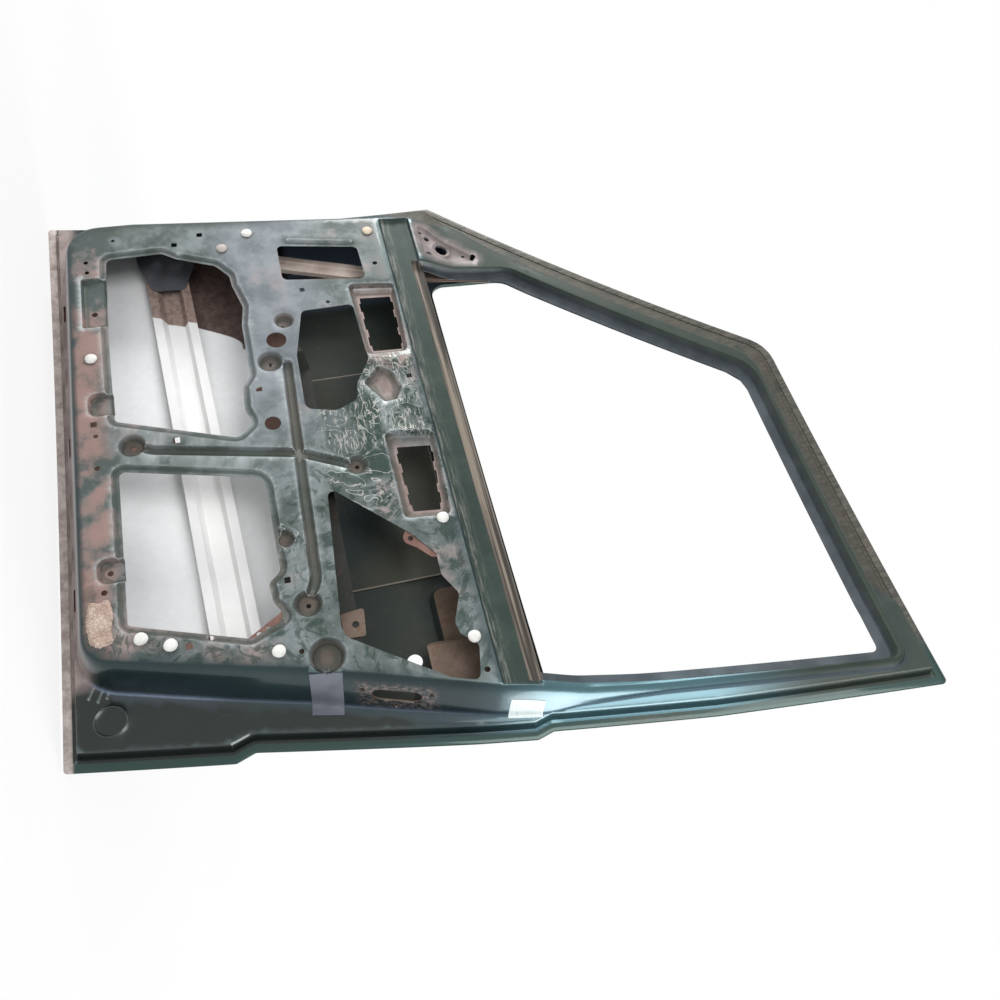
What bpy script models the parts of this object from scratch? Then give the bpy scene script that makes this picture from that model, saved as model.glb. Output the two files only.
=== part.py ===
"""Right front car door shell, bare of trim, glass and mechanism.

Sizes are in millimetres. x runs rearwards from the front edge at the sill, y runs outboard
from the flat that the trim panel lies on, and z runs up from the sill edge. The finished
door is moved so that the middle of the upper hinge seat is the origin.
"""
import math

import bmesh
import bpy
import numpy as np
from mathutils import Matrix, Vector
from mathutils.geometry import delaunay_2d_cdt

for old in list(bpy.data.objects):
    bpy.data.objects.remove(old, do_unlink=True)
DOOR = bpy.data.collections.new("car_door_shell")
bpy.context.scene.collection.children.link(DOOR)

MM = 0.001
FIT = 0.3            # clearance between flat pieces that touch
CURVED_FIT = 0.6     # clearance between crowned pieces, which are built of flat facets
ARC_STEP = 30.0      # degrees of arc for each straight piece of a corner
SMALL_ARC_STEP = 45.0    # the same for a corner of small radius
SMALL_RADIUS = 9.0
LEAST_RADIUS = 0.8   # left to a corner when its outline is moved inwards
ROUND_HOLE_SIDES = (6, 10, 8.0)  # of a small and of a large hole, and the radius between them
EDGE_STEP = 72.0     # longest straight piece of a pressing's outline
FOLD_STEP = 30.0     # the same where a level eases into another
GUIDE_STEP = 38.0    # the same along the glass guides

# Outer skin: a crowned sheet, most outboard at one height
SKIN_THICKNESS = 0.8
SKIN_CROWN = 102.0           # from the trim flat to the most outboard point
SKIN_CROWN_HEIGHT = 340.0
SKIN_CROWN_STATION = 560.0
SKIN_RADIUS_UP = 3850.0      # section radius seen along the car
SKIN_RADIUS_ALONG = 11000.0  # section radius seen from above
HEM_RETURN = 10.0            # width of the fold over the inner panel's flange
HEM_REACH = 2.0              # skin edge beyond the inner panel's edge
CORNER_SPREAD = 0.04         # share of the hem's width kept open round a corner

# Inner panel levels
PANEL_THICKNESS = 1.0
HEM_STACK = 2 * SKIN_THICKNESS + PANEL_THICKNESS + 2 * FIT   # skin, flange and folded skin
HEM_FLANGE = 14.0        # flat strip held by the hem
HEM_STEP = 6.0           # width of the step inside that strip
CORNER_ALLOWANCE = 0.6   # flange kept flat beyond its width, for its tight corners
LAND_DEPTH = 24.0        # seal land, inboard of the skin
UPPER_LAND_DEPTH = 7.0   # the same along the roof and the front pillar
WALL_SLOPE = 3.3         # rise of the shut walls for each millimetre of width
RIDGE_FILLET = 3.0
BELT_HEIGHT = 616.0      # upper edge of the inner panel at the glass slot
BELT_BAND_DEPTH = 5.0
BELT_BAND_START = 557.0
FRAME_DEPTH_BELT = 60.0  # ridge to skin where the window frame starts
FRAME_DEPTH = 40.0       # ridge to skin over the rest of the frame
FRAME_START = 598.0      # height where the trim flat starts to ease into the frame
FRAME_EASE = 80.0        # height over which it does
FRAME_THINNING = (620.0, 180.0)    # height where the frame starts to thin, and over how much
UPPER_LAND = (640.0, 60.0)         # the same for the seal land beside the glass
REAR_LAND = (1010.0, 40.0)         # and for the land of the rear pillar, along the door
REBATE_DEPTH = 15.0      # glass rebate below the ridge
REBATE_WALL = 4.0

# Corners are (x, z, radius)
DOOR_OUTLINE = [(8, 0, 4), (36, 670, 10), (504, 1167, 70), (1126, 1169, 5), (1085, 854, 0),
                (1047, 626, 8), (1053, 602, 8), (1039, 523, 0), (981, 232, 8), (990, 206, 8),
                (957, 2, 4)]
RIDGE_OUTLINE = [(84, 44, 60), (83.6, 150, 0), (129, 688, 40), (535, 1119, 75), (1090, 1119, 20),
                 (1046, 852, 0), (1011, 629, 60), (995, 556, 0), (917, 314, 0), (846, 44, 45)]
WINDOW_FOOT = 616.0      # height at which the window's front and rear edges were measured
WINDOW_FRONT = 241 + (257 - 241) * (BELT_HEIGHT - WINDOW_FOOT) / (758 - WINDOW_FOOT)
WINDOW_REAR = 981 + (1064 - 981) * (BELT_HEIGHT - WINDOW_FOOT) / (1089 - WINDOW_FOOT)
WINDOW_OPENING = [(WINDOW_FRONT, BELT_HEIGHT, 3), (257, 758, 45), (565, 1091, 60),
                  (1064, 1089, 8), (WINDOW_REAR, BELT_HEIGHT, 3)]
REBATE_OUTLINE = [(226, 594, 4), (238, 772, 55), (555, 1110, 70), (1083, 1107, 14),
                  (993, 594, 4)]
BELT_BAND = [(126, BELT_BAND_START, 4), (990, BELT_BAND_START, 4), (1003, 612, 4), (128, 612, 4)]

# Openings of the trim flat
FRONT_LOWER = [(160, 104, 10), (157, 190, 12), (172, 212, 8), (196, 272, 14), (222, 292, 10),
               (244, 294, 10), (292, 306, 12), (330, 300, 12), (432, 301, 10), (452, 288, 14),
               (494, 286, 14), (522, 295, 12), (543, 272, 14), (484, 102, 8), (300, 100, 0)]
REAR_LOWER = [(571, 103, 8), (617, 299, 24), (706, 300, 0), (770, 301, 14), (784, 283, 14),
              (812, 286, 10), (838, 300, 14), (858, 252, 12), (808, 102, 8)]
FRONT_UPPER = [(168, 376, 8), (187, 509, 10), (262, 512, 10), (246, 376, 10)]
MIDDLE = [(317, 396, 10), (314, 480, 10), (432, 485, 6), (474, 459, 12), (506, 454, 16),
          (521, 420, 16), (510, 374, 14), (406, 376, 6)]
SLOT_FRONT = [(297, 494, 3), (300, 545, 3), (413, 543, 3), (411, 496, 3)]
SLOT_REAR = [(598, 496, 3), (603, 547, 3), (715, 538, 3), (711, 498, 3)]
REAR_UPPER = [(651, 383, 8), (747, 484, 10), (786, 514, 10), (820, 514, 10), (852, 532, 12),
              (893, 516, 12), (910, 520, 8), (930, 541, 8), (978, 531, 8), (966, 494, 6),
              (883, 372, 12), (868, 367, 6)]
OPENINGS = {"front_lower": FRONT_LOWER, "rear_lower": REAR_LOWER, "front_upper": FRONT_UPPER,
            "middle": MIDDLE, "slot_front": SLOT_FRONT, "slot_rear": SLOT_REAR,
            "rear_upper": REAR_UPPER}
RIM_WIDTH = 11.0     # lowered rim round the big openings
RIM_DEPTH = 4.0

# Pressed forms of the trim flat: patches, grooves and cups
PATCHES = [  # corners, depth, wall
    ([(268, 478, 10), (277, 556, 10), (424, 551, 10), (423, 484, 10)], 8.0, 5.0),
    ([(572, 480, 10), (582, 557, 10), (730, 551, 10), (724, 482, 10)], 8.0, 5.0),
    ([(444, 497, 6), (462, 518, 6), (492, 528, 5), (516, 514, 5), (518, 494, 5), (476, 468, 6)],
     7.0, 5.0),
    ([(200, 64, 5), (200, 104, 3), (304, 104, 3), (304, 64, 5)], 7.0, 4.0),
    ([(430, 66, 14), (430, 106, 3), (474, 106, 3), (474, 66, 14)], 9.0, 6.0),
    ([(706, 68, 14), (706, 108, 3), (746, 108, 3), (746, 68, 14)], 9.0, 6.0),
]
BEADS = [  # start, end, half width, height above the flat
    ((281, 490), (287, 548), 8.0, 4.0),
    ((574, 492), (583, 548), 8.0, 4.0),
    ((434, 484), (441, 517), 7.0, 3.5),
    ((158, 398), (175, 500), 7.0, 3.5),
    ((704, 312), (720, 330), 8.0, 4.0),
]
BEAD_WALL = 0.6      # width of a bead's wall, as a share of its half width
GROOVES = [  # path, half width, depth
    ([(532, 124), (545, 152), (586, 353), (622, 428)], 9.0, 8.0),
    ([(421, 359), (586, 353), (793, 346), (822, 330)], 9.0, 8.0),
]
GROOVE_WALL = 5.0
CUPS = [  # x, z, radius, depth
    (332, 366, 17, 8), (411, 334, 21, 10), (825, 330, 20, 10), (532, 124, 20, 11),
    (622, 432, 17, 8), (902, 343, 25, 13), (724, 314, 15, 6),
]
CUP_WALL = 7.0

ROUND_HOLES = [  # x, z, radius
    (371, 349, 15.5), (528, 323, 12), (340, 362, 3), (622, 432, 3.5), (825, 330, 3.5),
    (532, 124, 4), (726, 84, 4), (272, 82, 4.5), (122, 117, 3), (166, 74, 3.5), (188, 75, 3.5),
    (229, 533, 4), (304, 441, 3.5), (508, 76, 3.5), (563, 76, 4), (757, 77, 4), (846, 202, 3.5),
    (890, 312, 3.5), (966, 543, 4), (411, 334, 4.5),
]
SQUARE_HOLES = [  # x, z, side
    (144, 212, 9), (272, 404, 8), (462, 311, 9), (487, 74, 9), (786, 308, 9), (853, 175, 9),
    (474, 541, 8), (126, 254, 9), (534, 185, 10),
]
PLUG_PLACES = [(133, 331), (163, 287), (153, 534), (366, 75), (831, 118), (847, 153), (884, 284),
               (733, 536), (918, 537)]
PLUG_HOLE = 3.6
PANEL_GRID = ((40.0, 1120.0, 90.0), (15.0, 620.0))   # extra points: start, end and step, heights

# Mirror sail at the foot of the front pillar
SAIL = [(134, 622, 8), (224, 736, 8), (210, 622, 8)]
SAIL_DEPTH = 6.0
SAIL_HOLES = [(188, 660, 11), (168, 637, 5), (204, 634, 5), (209, 714, 5), (156, 628, 3),
              (203, 697, 3)]

# Shut walls, measured along an edge of the ridge outline and down the wall
HINGE_EDGE = ((83.6, 150), (129, 688))
HINGE_HEIGHTS = (205.0, 520.0)   # lower and upper hinge
HINGE_DOWN = 36.0                # from the trim flat down the wall
HINGE_BOLT_SPREAD = 34.0
HINGE_BOLT_HOLE = 5.5
CHECK_STRAP_HEIGHT = 365.0
CHECK_STRAP_SLOT = (22.0, 9.0)   # half length and half width
LATCH_EDGE = ((917, 314), (995, 556))
LATCH_ALONG = 118.0
LATCH_DOWN = 40.0
LATCH_SLOT = (34.0, 12.0)        # half length and half width
LATCH_SCREWS = [(-46, -8), (46, -8), (0, 22)]
DRAIN_SLOTS = (215, 477, 730)
DRAIN_HEIGHT = 24.0
DRAIN_SLOT = (17.0, 1.6)

# Outer skin openings
SKIN_WINDOW_GROW = 20.6      # skin opening beyond the inner panel's opening
SKIN_BELT_HEIGHT = 634.0
SKIN_FLANGE = 8.0
HANDLE_CUP = [(800, 500, 24), (800, 572, 24), (930, 572, 24), (930, 500, 24)]
HANDLE_DEPTH = 14.0
HANDLE_WALL = 10.0
HANDLE_SLOTS = [[(816, 548, 4), (816, 562, 4), (846, 562, 4), (846, 548, 4)],
                [(890, 548, 4), (890, 562, 4), (912, 562, 4), (912, 548, 4)]]
LOCK_PLACE = (905, 462)
LOCK_HOLE = 11.0
SKIN_GRID = ((100.0, 1000.0, 150.0), (70.0, SKIN_BELT_HEIGHT - 24.0, 90.0))   # extra points
ON_LINE = 0.05       # gap within which an edge counts as lying on an outline

# Glass guides and window channel: a channel section behind the rebate lip
GUIDE_THICKNESS = 1.0
GUIDE_NEAR = 2.0         # from the lip's edge to the channel's leg, outwards
GUIDE_FAR = 18.0
GUIDE_DEPTH = 14.0
GUIDE_RETURN = 12.0      # where the short outer leg ends
FRONT_GUIDE_SPAN = (330.0, 736.0)
REAR_GUIDE_SPAN = (450.0, 1082.0)
CHANNEL_START = 741.0    # height where the window channel takes over at the front
CHANNEL_END = 1042.0     # and where it ends along the roof
GUIDE_BRACKET = [(894, 478, 8), (902, 562, 6), (976, 562, 4), (962, 478, 4)]
GUIDE_BRACKET_LIP = (902.0, 6.0, 8.0)    # edge turned outboard: start, width and height
GUIDE_FOLD_MARGIN = 3.0  # its fold stops short of the corners by this

# Belt reinforcements
INNER_BELT = (140.0, 980.0, 563.0, 606.0)      # front, rear, lower and upper edge
INNER_BELT_STEP = (578.0, 584.0, 17.5)         # start and end of the step, and its height
OUTER_BELT = (60.0, 1020.0, 578.0, 628.0)
OUTER_BELT_RAISED = (591.0, 615.0, 5.0, 10.0)  # lower and upper edge, wall, height
BELT_THICKNESS = 1.2
STRIP_CORNER = 3.0
STRIP_BEND_MARGIN = 4.0      # the bends stop short of the strip's ends by this

# Intrusion beam and its brackets
BEAM_LINE = ((150, 186), (880, 230))
BEAM_HALF = 34.0
BEAM_HAT = (20.0, 7.0, 14.3)   # half width at its foot, wall, height
BEAM_STEPS = (47.0, 61.0, 83.0)   # longest facet along its edge, the hat's foot and its top
BEAM_THICKNESS = 1.6
BEAM_FIT = 0.4
BRACKET_THICKNESS = 1.5
FRONT_BRACKET = [(42, 142, 8), (42, 236, 8), (112, 238, 20), (176, 214, 8), (176, 162, 8),
                 (112, 140, 20)]
REAR_BRACKET = [(836, 196, 8), (836, 262, 8), (900, 278, 12), (948, 278, 8), (948, 186, 8),
                (900, 180, 12)]

# Cross stiffener behind the trim flat, on three feet
STIFFENER = [(374, 366, 3), (374, 377, 3), (415, 392, 8), (925, 392, 4), (925, 375, 4),
             (896, 374, 6), (866, 366, 6)]
STIFFENER_HEIGHT = 22.0
STIFFENER_FEET = [(374.0, 398.0), (530.0, 560.0), (903.0, 925.0)]
STIFFENER_RAMP = 20.0
STIFFENER_THICKNESS = 1.5
STIFFENER_OVERRUN = 2.0      # how far its bend lines run past its edges
STIFFENER_BRACKET = [(842, 369, 3), (838, 402, 4), (879, 398, 4), (877, 369, 3)]
STIFFENER_HOLE = (860, 387, 5.0)

# Small brackets behind the trim flat
TAB_BRACKET = [(742, 476, 9), (743, 496, 4), (752, 521, 4), (792, 521, 4), (790, 507, 4),
               (772, 490, 6), (760, 473, 9)]
TAB_HOLE = (756, 484, 4.0)
CORNER_BRACKET = [(826, 297, 2), (857, 246, 2), (874, 262, 5), (872, 296, 6), (846, 305, 5)]
CORNER_BRACKET_HOLES = [(853, 262, 3.5), (847, 274, 2.6)]
SMALL_BRACKET_THICKNESS = 1.2

# Plates behind the shut walls, about the middle of what they back
HINGE_PLATE = [(-42, -26, 6), (-42, 24, 6), (42, 24, 6), (42, -26, 6)]
HINGE_PLATE_THICKNESS = 3.0
LATCH_PLATE = [(-66, -26, 8), (-66, 10, 8), (-20, 28, 8), (20, 28, 8), (66, 10, 8), (66, -26, 8)]
LATCH_PLATE_THICKNESS = 1.8
LATCH_SCREW_HOLE = 4.0
MIRROR_PLATE_INSET = 5.0
MIRROR_PLATE_THICKNESS = 2.0
MIRROR_PLATE_SLACK = 0.5     # extra seat height on the sail's slope, as a share of the panel
MIRROR_PLATE_STEP = 12.0
MIRROR_PLATE_ROWS = (640.0, 652.0, 664.0, 676.0, 688.0, 700.0)

# Plates on the skin
HANDLE_PLATE = [(808, 508, 12), (808, 564, 12), (922, 564, 12), (922, 508, 12)]
HANDLE_PLATE_THICKNESS = 1.2
HANDLE_PLATE_CLEAR = 2.5     # its slots are larger than the skin's by this
DAMPING_SHEET = [(385, 300, 10), (385, 560, 10), (780, 560, 10), (780, 300, 10)]
DAMPING_THICKNESS = 2.0
DAMPING_GRID = (6, 4)        # its facets along the door and upwards

# Small pieces
PLUG_SIDES = 9
PLUG_PROFILE = [(0, 5.2), (4.2, 4.9), (7.4, 3.6), (9.0, 1.2), (9.0, FIT), (2.8, FIT),
                (2.8, -6.5), (1.7, -8.5), (0, -8.5)]
NUT_CUPS = (1, 2, 4)         # cups with a weld nut behind them
NUT_SIDES = 9
NUT_BORE = 3.6
NUT_PROFILE = [(NUT_BORE, 6.5), (6.8, 6.5), (6.8, 1.6), (9.2, 1.6), (9.2, FIT), (NUT_BORE, FIT),
               (NUT_BORE, 6.5)]
SEALANT_PAD = [(766, 57, 4), (771, 70, 3), (765, 82, 5), (790, 87, 6), (812, 83, 4),
               (829, 86, 5), (833, 68, 5), (826, 57, 4), (800, 53, 5)]
SEALANT_THICKNESS = 4.0

# Colours and finish: base colour, roughness, metallic
FINISHES = {
    "green_paint": ((0.035, 0.090, 0.080, 1.0), 0.25, 0.5),
    "dull_green_paint": ((0.20, 0.24, 0.22, 1.0), 0.45, 0.4),
    "primer_brown": ((0.30, 0.22, 0.17, 1.0), 0.6, 0.1),
    "slate_primer": ((0.06, 0.065, 0.085, 1.0), 0.5, 0.2),
    "bare_steel": ((0.45, 0.44, 0.42, 1.0), 0.4, 0.9),
    "cream_plastic": ((0.80, 0.76, 0.66, 1.0), 0.5, 0.0),
    "bitumen": ((0.02, 0.022, 0.02, 1.0), 0.8, 0.0),
    "cream_foam": ((0.62, 0.50, 0.38, 1.0), 0.9, 0.0),
}


def smooth(t):
    """Ease from 0 to 1 with level ends."""
    t = np.clip(t, 0.0, 1.0)
    return t * t * (3.0 - 2.0 * t)


def skin_y(x, z):
    """Outboard face of the skin."""
    return (SKIN_CROWN - (z - SKIN_CROWN_HEIGHT) ** 2 / (2 * SKIN_RADIUS_UP)
            - (x - SKIN_CROWN_STATION) ** 2 / (2 * SKIN_RADIUS_ALONG))


def frame_y(x, z):
    """Inboard face of the window frame's ridge, which thins above the belt."""
    start, run = FRAME_THINNING
    thinning = (FRAME_DEPTH_BELT - FRAME_DEPTH) * smooth((z - start) / run)
    return skin_y(x, z) - FRAME_DEPTH_BELT + thinning


def face_y(x, z):
    """Inboard face of the trim flat, easing into the ridge of the window frame."""
    return frame_y(x, z) * smooth((z - FRAME_START) / FRAME_EASE)


def land_y(x, z):
    """Seal land round the ridge: deep below the belt and at the rear, shallow elsewhere."""
    upper = (smooth((z - UPPER_LAND[0]) / UPPER_LAND[1])
             * smooth((REAR_LAND[0] - x) / REAR_LAND[1]))
    return skin_y(x, z) - LAND_DEPTH + (LAND_DEPTH - UPPER_LAND_DEPTH) * upper


def hem_y(x, z):
    """Inboard face of the flange that the hem holds."""
    return skin_y(x, z) - SKIN_THICKNESS - FIT - PANEL_THICKNESS


def turned_left(outline, items):
    """Items that belong to the points of an outline, put in counter-clockwise order."""
    flat = np.array([point[:2] for point in outline], float)
    after = np.roll(flat, -1, axis=0)
    area = np.sum(flat[:, 0] * after[:, 1] - after[:, 0] * flat[:, 1])
    return items if area > 0 else items[::-1]


def inset(corners, distance):
    """The outline moved inwards, or outwards for a negative distance."""
    corners = turned_left(corners, corners)
    count = len(corners)
    moved = []
    for i in range(count):
        before = np.array(corners[i - 1][:2], float)
        here = np.array(corners[i][:2], float)
        after = np.array(corners[(i + 1) % count][:2], float)
        first = (here - before) / np.linalg.norm(here - before)
        second = (after - here) / np.linalg.norm(after - here)
        turn = first[0] * second[1] - first[1] * second[0]
        normal_a = np.array([-first[1], first[0]])
        normal_b = np.array([-second[1], second[0]])
        shift = (normal_a + normal_b) * distance / (1.0 + normal_a @ normal_b)
        radius = corners[i][2]
        if radius > 0:
            radius = max(radius - distance * math.copysign(1.0, turn), LEAST_RADIUS)
        moved.append((here[0] + shift[0], here[1] + shift[1], radius))
    return moved


def rounded(corners, closed=True, step=EDGE_STEP):
    """Points of an outline with arcs at its corners, long edges cut into even pieces."""
    points = []
    count = len(corners)
    for i, (x, z, radius) in enumerate(corners):
        here = np.array([x, z], float)
        if radius <= 0 or (not closed and i in (0, count - 1)):
            points.append(here)
            continue
        before = np.array(corners[i - 1][:2], float) - here
        after = np.array(corners[(i + 1) % count][:2], float) - here
        before_length = np.linalg.norm(before)
        after_length = np.linalg.norm(after)
        before, after = before / before_length, after / after_length
        half = math.acos(np.clip(before @ after, -1.0, 1.0)) / 2
        reach = min(radius / math.tan(half), 0.48 * before_length, 0.48 * after_length)
        radius = reach * math.tan(half)
        middle = here + (before + after) / np.linalg.norm(before + after) * radius / math.sin(half)
        start = here + before * reach - middle
        end = here + after * reach - middle
        sweep = math.pi - 2 * half
        turn = math.copysign(1.0, start[0] * end[1] - start[1] * end[0])
        arc_step = ARC_STEP if radius > SMALL_RADIUS else SMALL_ARC_STEP
        pieces = max(1, math.ceil(math.degrees(sweep) / arc_step))
        for k in range(pieces + 1):
            angle = turn * sweep * k / pieces
            spun = np.array([start[0] * math.cos(angle) - start[1] * math.sin(angle),
                             start[0] * math.sin(angle) + start[1] * math.cos(angle)])
            points.append(middle + spun)
    spaced = []
    last = len(points) if closed else len(points) - 1
    for i in range(last):
        a, b = points[i], points[(i + 1) % len(points)]
        pieces = max(1, math.ceil(np.linalg.norm(b - a) / step))
        spaced.extend(a + (b - a) * k / pieces for k in range(pieces))
    if not closed:
        spaced.append(points[-1])
    return np.array(spaced)


def circle(x, z, radius, count=8):
    """Points round a circle."""
    turns = [2 * math.pi * (k + 0.5) / count for k in range(count)]
    return np.array([(x + radius * math.cos(a), z + radius * math.sin(a)) for a in turns])


def round_hole(x, z, radius):
    """Points round a punched hole, with more of them round a large one."""
    few, many, limit = ROUND_HOLE_SIDES
    return circle(x, z, radius, many if radius > limit else few)


def square(x, z, side):
    """Points of an upright square."""
    h = side / 2
    return np.array([(x - h, z - h), (x + h, z - h), (x + h, z + h), (x - h, z + h)])


def stroke(path, half):
    """Outline of a band with round ends about a path."""
    path = np.array(path, float)
    left, right = [], []
    for i in range(len(path)):
        ahead = path[min(i + 1, len(path) - 1)] - path[max(i - 1, 0)]
        side = np.array([-ahead[1], ahead[0]]) / np.linalg.norm(ahead)
        left.append(path[i] + side * half)
        right.append(path[i] - side * half)
    def cap(centre, start):
        arm = start - centre
        return [centre + np.array([arm[0] * math.cos(a) + arm[1] * math.sin(a),
                                   arm[1] * math.cos(a) - arm[0] * math.sin(a)])
                for a in (math.pi / 3, 2 * math.pi / 3)]
    return np.array(left + cap(path[-1], left[-1]) + right[::-1] + cap(path[0], right[0]))


def path_distance(path, points, closed=False):
    """Distance from each point to a polyline."""
    path = np.asarray(path, float)
    nearest = np.full(len(points), 1e9)
    ends = np.roll(path, -1, axis=0) if closed else path[1:]
    for a, b in zip(path, ends):
        run = b - a
        along = np.clip(((points - a) @ run) / max(run @ run, 1e-12), 0.0, 1.0)
        gap = np.linalg.norm(points - a - along[:, None] * run, axis=1)
        nearest = np.minimum(nearest, gap)
    return nearest


def inside(outline, points):
    """Which points lie inside a closed outline."""
    found = np.zeros(len(points), bool)
    for a, b in zip(outline, np.roll(outline, -1, axis=0)):
        spans = (a[1] > points[:, 1]) != (b[1] > points[:, 1])
        rise = b[1] - a[1] if abs(b[1] - a[1]) > 1e-12 else 1e-12
        crossing = a[0] + (points[:, 1] - a[1]) * (b[0] - a[0]) / rise
        found ^= spans & (points[:, 0] < crossing)
    return found


def signed_distance(outline, points):
    """Distance to a closed outline, negative inside it."""
    gap = path_distance(outline, points, closed=True)
    return np.where(inside(outline, points), -gap, gap)


def ramp(distance, wall):
    """0 at an outline and 1 from a wall's width inside it."""
    return np.clip(-distance / wall, 0.0, 1.0)


DOOR_LINE = rounded(DOOR_OUTLINE)
RIDGE_LINE = rounded(RIDGE_OUTLINE)
REBATE_LINE = rounded(REBATE_OUTLINE)
WINDOW_LINE = rounded(WINDOW_OPENING)
RIMMED = ("front_lower", "rear_lower")


def wall_rise(distance):
    """Rise of a shut wall outside the ridge, with a rounded knee."""
    knee = np.clip(distance, -RIDGE_FILLET, RIDGE_FILLET)
    rounding = WALL_SLOPE * (knee + RIDGE_FILLET) ** 2 / (4 * RIDGE_FILLET)
    return rounding + WALL_SLOPE * np.maximum(distance - RIDGE_FILLET, 0.0)


def form_depth(points):
    """Depth of the pressed forms below the trim flat and the frame ridge."""
    depth = np.zeros(len(points))
    def sink(amount):
        np.maximum(depth, amount, out=depth)
    sink(REBATE_DEPTH * ramp(signed_distance(REBATE_LINE, points), REBATE_WALL))
    sink(BELT_BAND_DEPTH * ramp(signed_distance(rounded(BELT_BAND), points), REBATE_WALL))
    sink(SAIL_DEPTH * ramp(signed_distance(rounded(SAIL), points), REBATE_WALL))
    for corners, deep, wall in PATCHES:
        sink(deep * ramp(signed_distance(rounded(corners), points), wall))
    for name in RIMMED:
        rim = rounded(inset(OPENINGS[name], -RIM_WIDTH))
        sink(RIM_DEPTH * ramp(signed_distance(rim, points), REBATE_WALL))
    for path, half, deep in GROOVES:
        sink(deep * ramp(path_distance(path, points) - half, GROOVE_WALL))
    for x, z, radius, deep in CUPS:
        gap = np.linalg.norm(points - np.array([x, z]), axis=1)
        sink(deep * ramp(gap - radius, CUP_WALL))
    for start, end, half, height in BEADS:
        raised = height * ramp(path_distance([start, end], points) - half, half * BEAD_WALL)
        depth -= raised
    return depth


def panel_y(points):
    """Inboard face of the inner panel at each (x, z)."""
    points = np.asarray(points, float)
    x, z = points[:, 0], points[:, 1]
    from_edge = -signed_distance(DOOR_LINE, points)
    past_flange = from_edge - HEM_FLANGE - CORNER_ALLOWANCE
    to_land = np.clip(past_flange / (HEM_STEP - CORNER_ALLOWANCE), 0.0, 1.0)
    outer = hem_y(x, z) + (land_y(x, z) - hem_y(x, z)) * to_land
    outside = signed_distance(RIDGE_LINE, points)
    face = face_y(x, z)
    within = np.where(outside < 0, form_depth(points), 0.0)
    return np.minimum(outer, face + within + wall_rise(outside))


def wall_frame(edge, along, down):
    """Matrix of a place on a shut wall: u along the edge, v down the wall, w out of it."""
    a, b = np.array(edge[0], float), np.array(edge[1], float)
    run = (b - a) / np.linalg.norm(b - a)
    middle = np.mean(RIDGE_LINE, axis=0)
    out = np.array([run[1], -run[0]])
    if out @ (a - middle) < 0:
        out = -out
    u = Vector((run[0], 0, run[1]))
    v = Vector((out[0], WALL_SLOPE, out[1])).normalized()
    w = u.cross(v)
    if w.y > 0:
        w = -w
    start = Vector((a[0], 0, a[1])) + u * along + v * down
    turn = Matrix((u, v, w)).transposed().to_4x4()
    return Matrix.Translation(start) @ turn


def on_wall(edge, along, down, shape):
    """Outline drawn on a shut wall in (along, down), as (x, z) points."""
    place = wall_frame(edge, along, down)
    found = [place @ Vector((u, v, 0.0)) for u, v in shape]
    return np.array([(p.x, p.z) for p in found])


def oblong(half_length, half_width):
    """Points of a slot with round ends, about its own middle."""
    run = half_length - half_width
    ends = []
    for side in (1, -1):
        for k in range(-2, 3):
            a = math.pi / 4 * k + (0 if side > 0 else math.pi)
            ends.append((side * run + half_width * math.cos(a), half_width * math.sin(a)))
    return ends


def hinge_along(height):
    """Distance along the hinge edge to a height above the sill."""
    (x0, z0), (x1, z1) = HINGE_EDGE
    return (height - z0) * math.hypot(x1 - x0, z1 - z0) / (z1 - z0)


def finish(name):
    """Material of one finish."""
    found = bpy.data.materials.get(name)
    if found:
        return found
    colour, roughness, metallic = FINISHES[name]
    made = bpy.data.materials.new(name)
    made.use_nodes = True
    shader = made.node_tree.nodes["Principled BSDF"]
    shader.inputs["Base Color"].default_value = colour
    shader.inputs["Roughness"].default_value = roughness
    shader.inputs["Metallic"].default_value = metallic
    made.diffuse_color = colour
    return made


def add_object(name, vertices, faces, material, place=None, thickness=0.0):
    """Object from vertices in millimetres, moved to the door's own origin."""
    mesh = bpy.data.meshes.new(name)
    mesh.from_pydata([Vector(v) * MM for v in vertices], [], faces)
    mesh.materials.append(finish(material))
    built = bpy.data.objects.new(name, mesh)
    DOOR.objects.link(built)
    shift = Matrix.Translation(-ORIGIN * MM)
    if place is not None:
        place = place.copy()
        place.translation *= MM
        shift = shift @ place
    built.matrix_world = shift
    if thickness:
        wall = built.modifiers.new("sheet", "SOLIDIFY")
        wall.thickness = thickness * MM
        wall.offset = -1.0
        wall.use_even_offset = False
    return built


def cut_sheet(outline, openings, rings, loose=()):
    """Triangles of a flat outline with openings, split along rings and loose points."""
    points, edges, regions = [], [], []
    for k, ring in enumerate([outline] + list(openings) + list(rings)):
        numbers = range(len(points), len(points) + len(ring))
        points.extend(Vector(p) for p in ring)
        if k <= len(openings):
            regions.append(turned_left(ring, list(numbers)))
        else:
            edges.extend(zip(numbers, list(numbers)[1:] + [numbers[0]]))
    points.extend(Vector(p) for p in loose)
    made, _, triangles, _, _, origins = delaunay_2d_cdt(points, edges, regions, 0, 1e-3)
    flat = np.array([tuple(p) for p in made])
    keep = [k for k, regions_in in enumerate(origins) if list(regions_in) == [0]]
    triangles = np.array([triangles[k] for k in keep])
    a, b, c = (flat[triangles[:, k]] for k in range(3))
    area = (b[:, 0] - a[:, 0]) * (c[:, 1] - a[:, 1]) - (b[:, 1] - a[:, 1]) * (c[:, 0] - a[:, 0])
    triangles[area < 0] = triangles[area < 0][:, ::-1]
    used = np.unique(triangles)
    renumber = np.zeros(len(flat), int)
    renumber[used] = np.arange(len(used))
    return flat[used], renumber[triangles]


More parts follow.
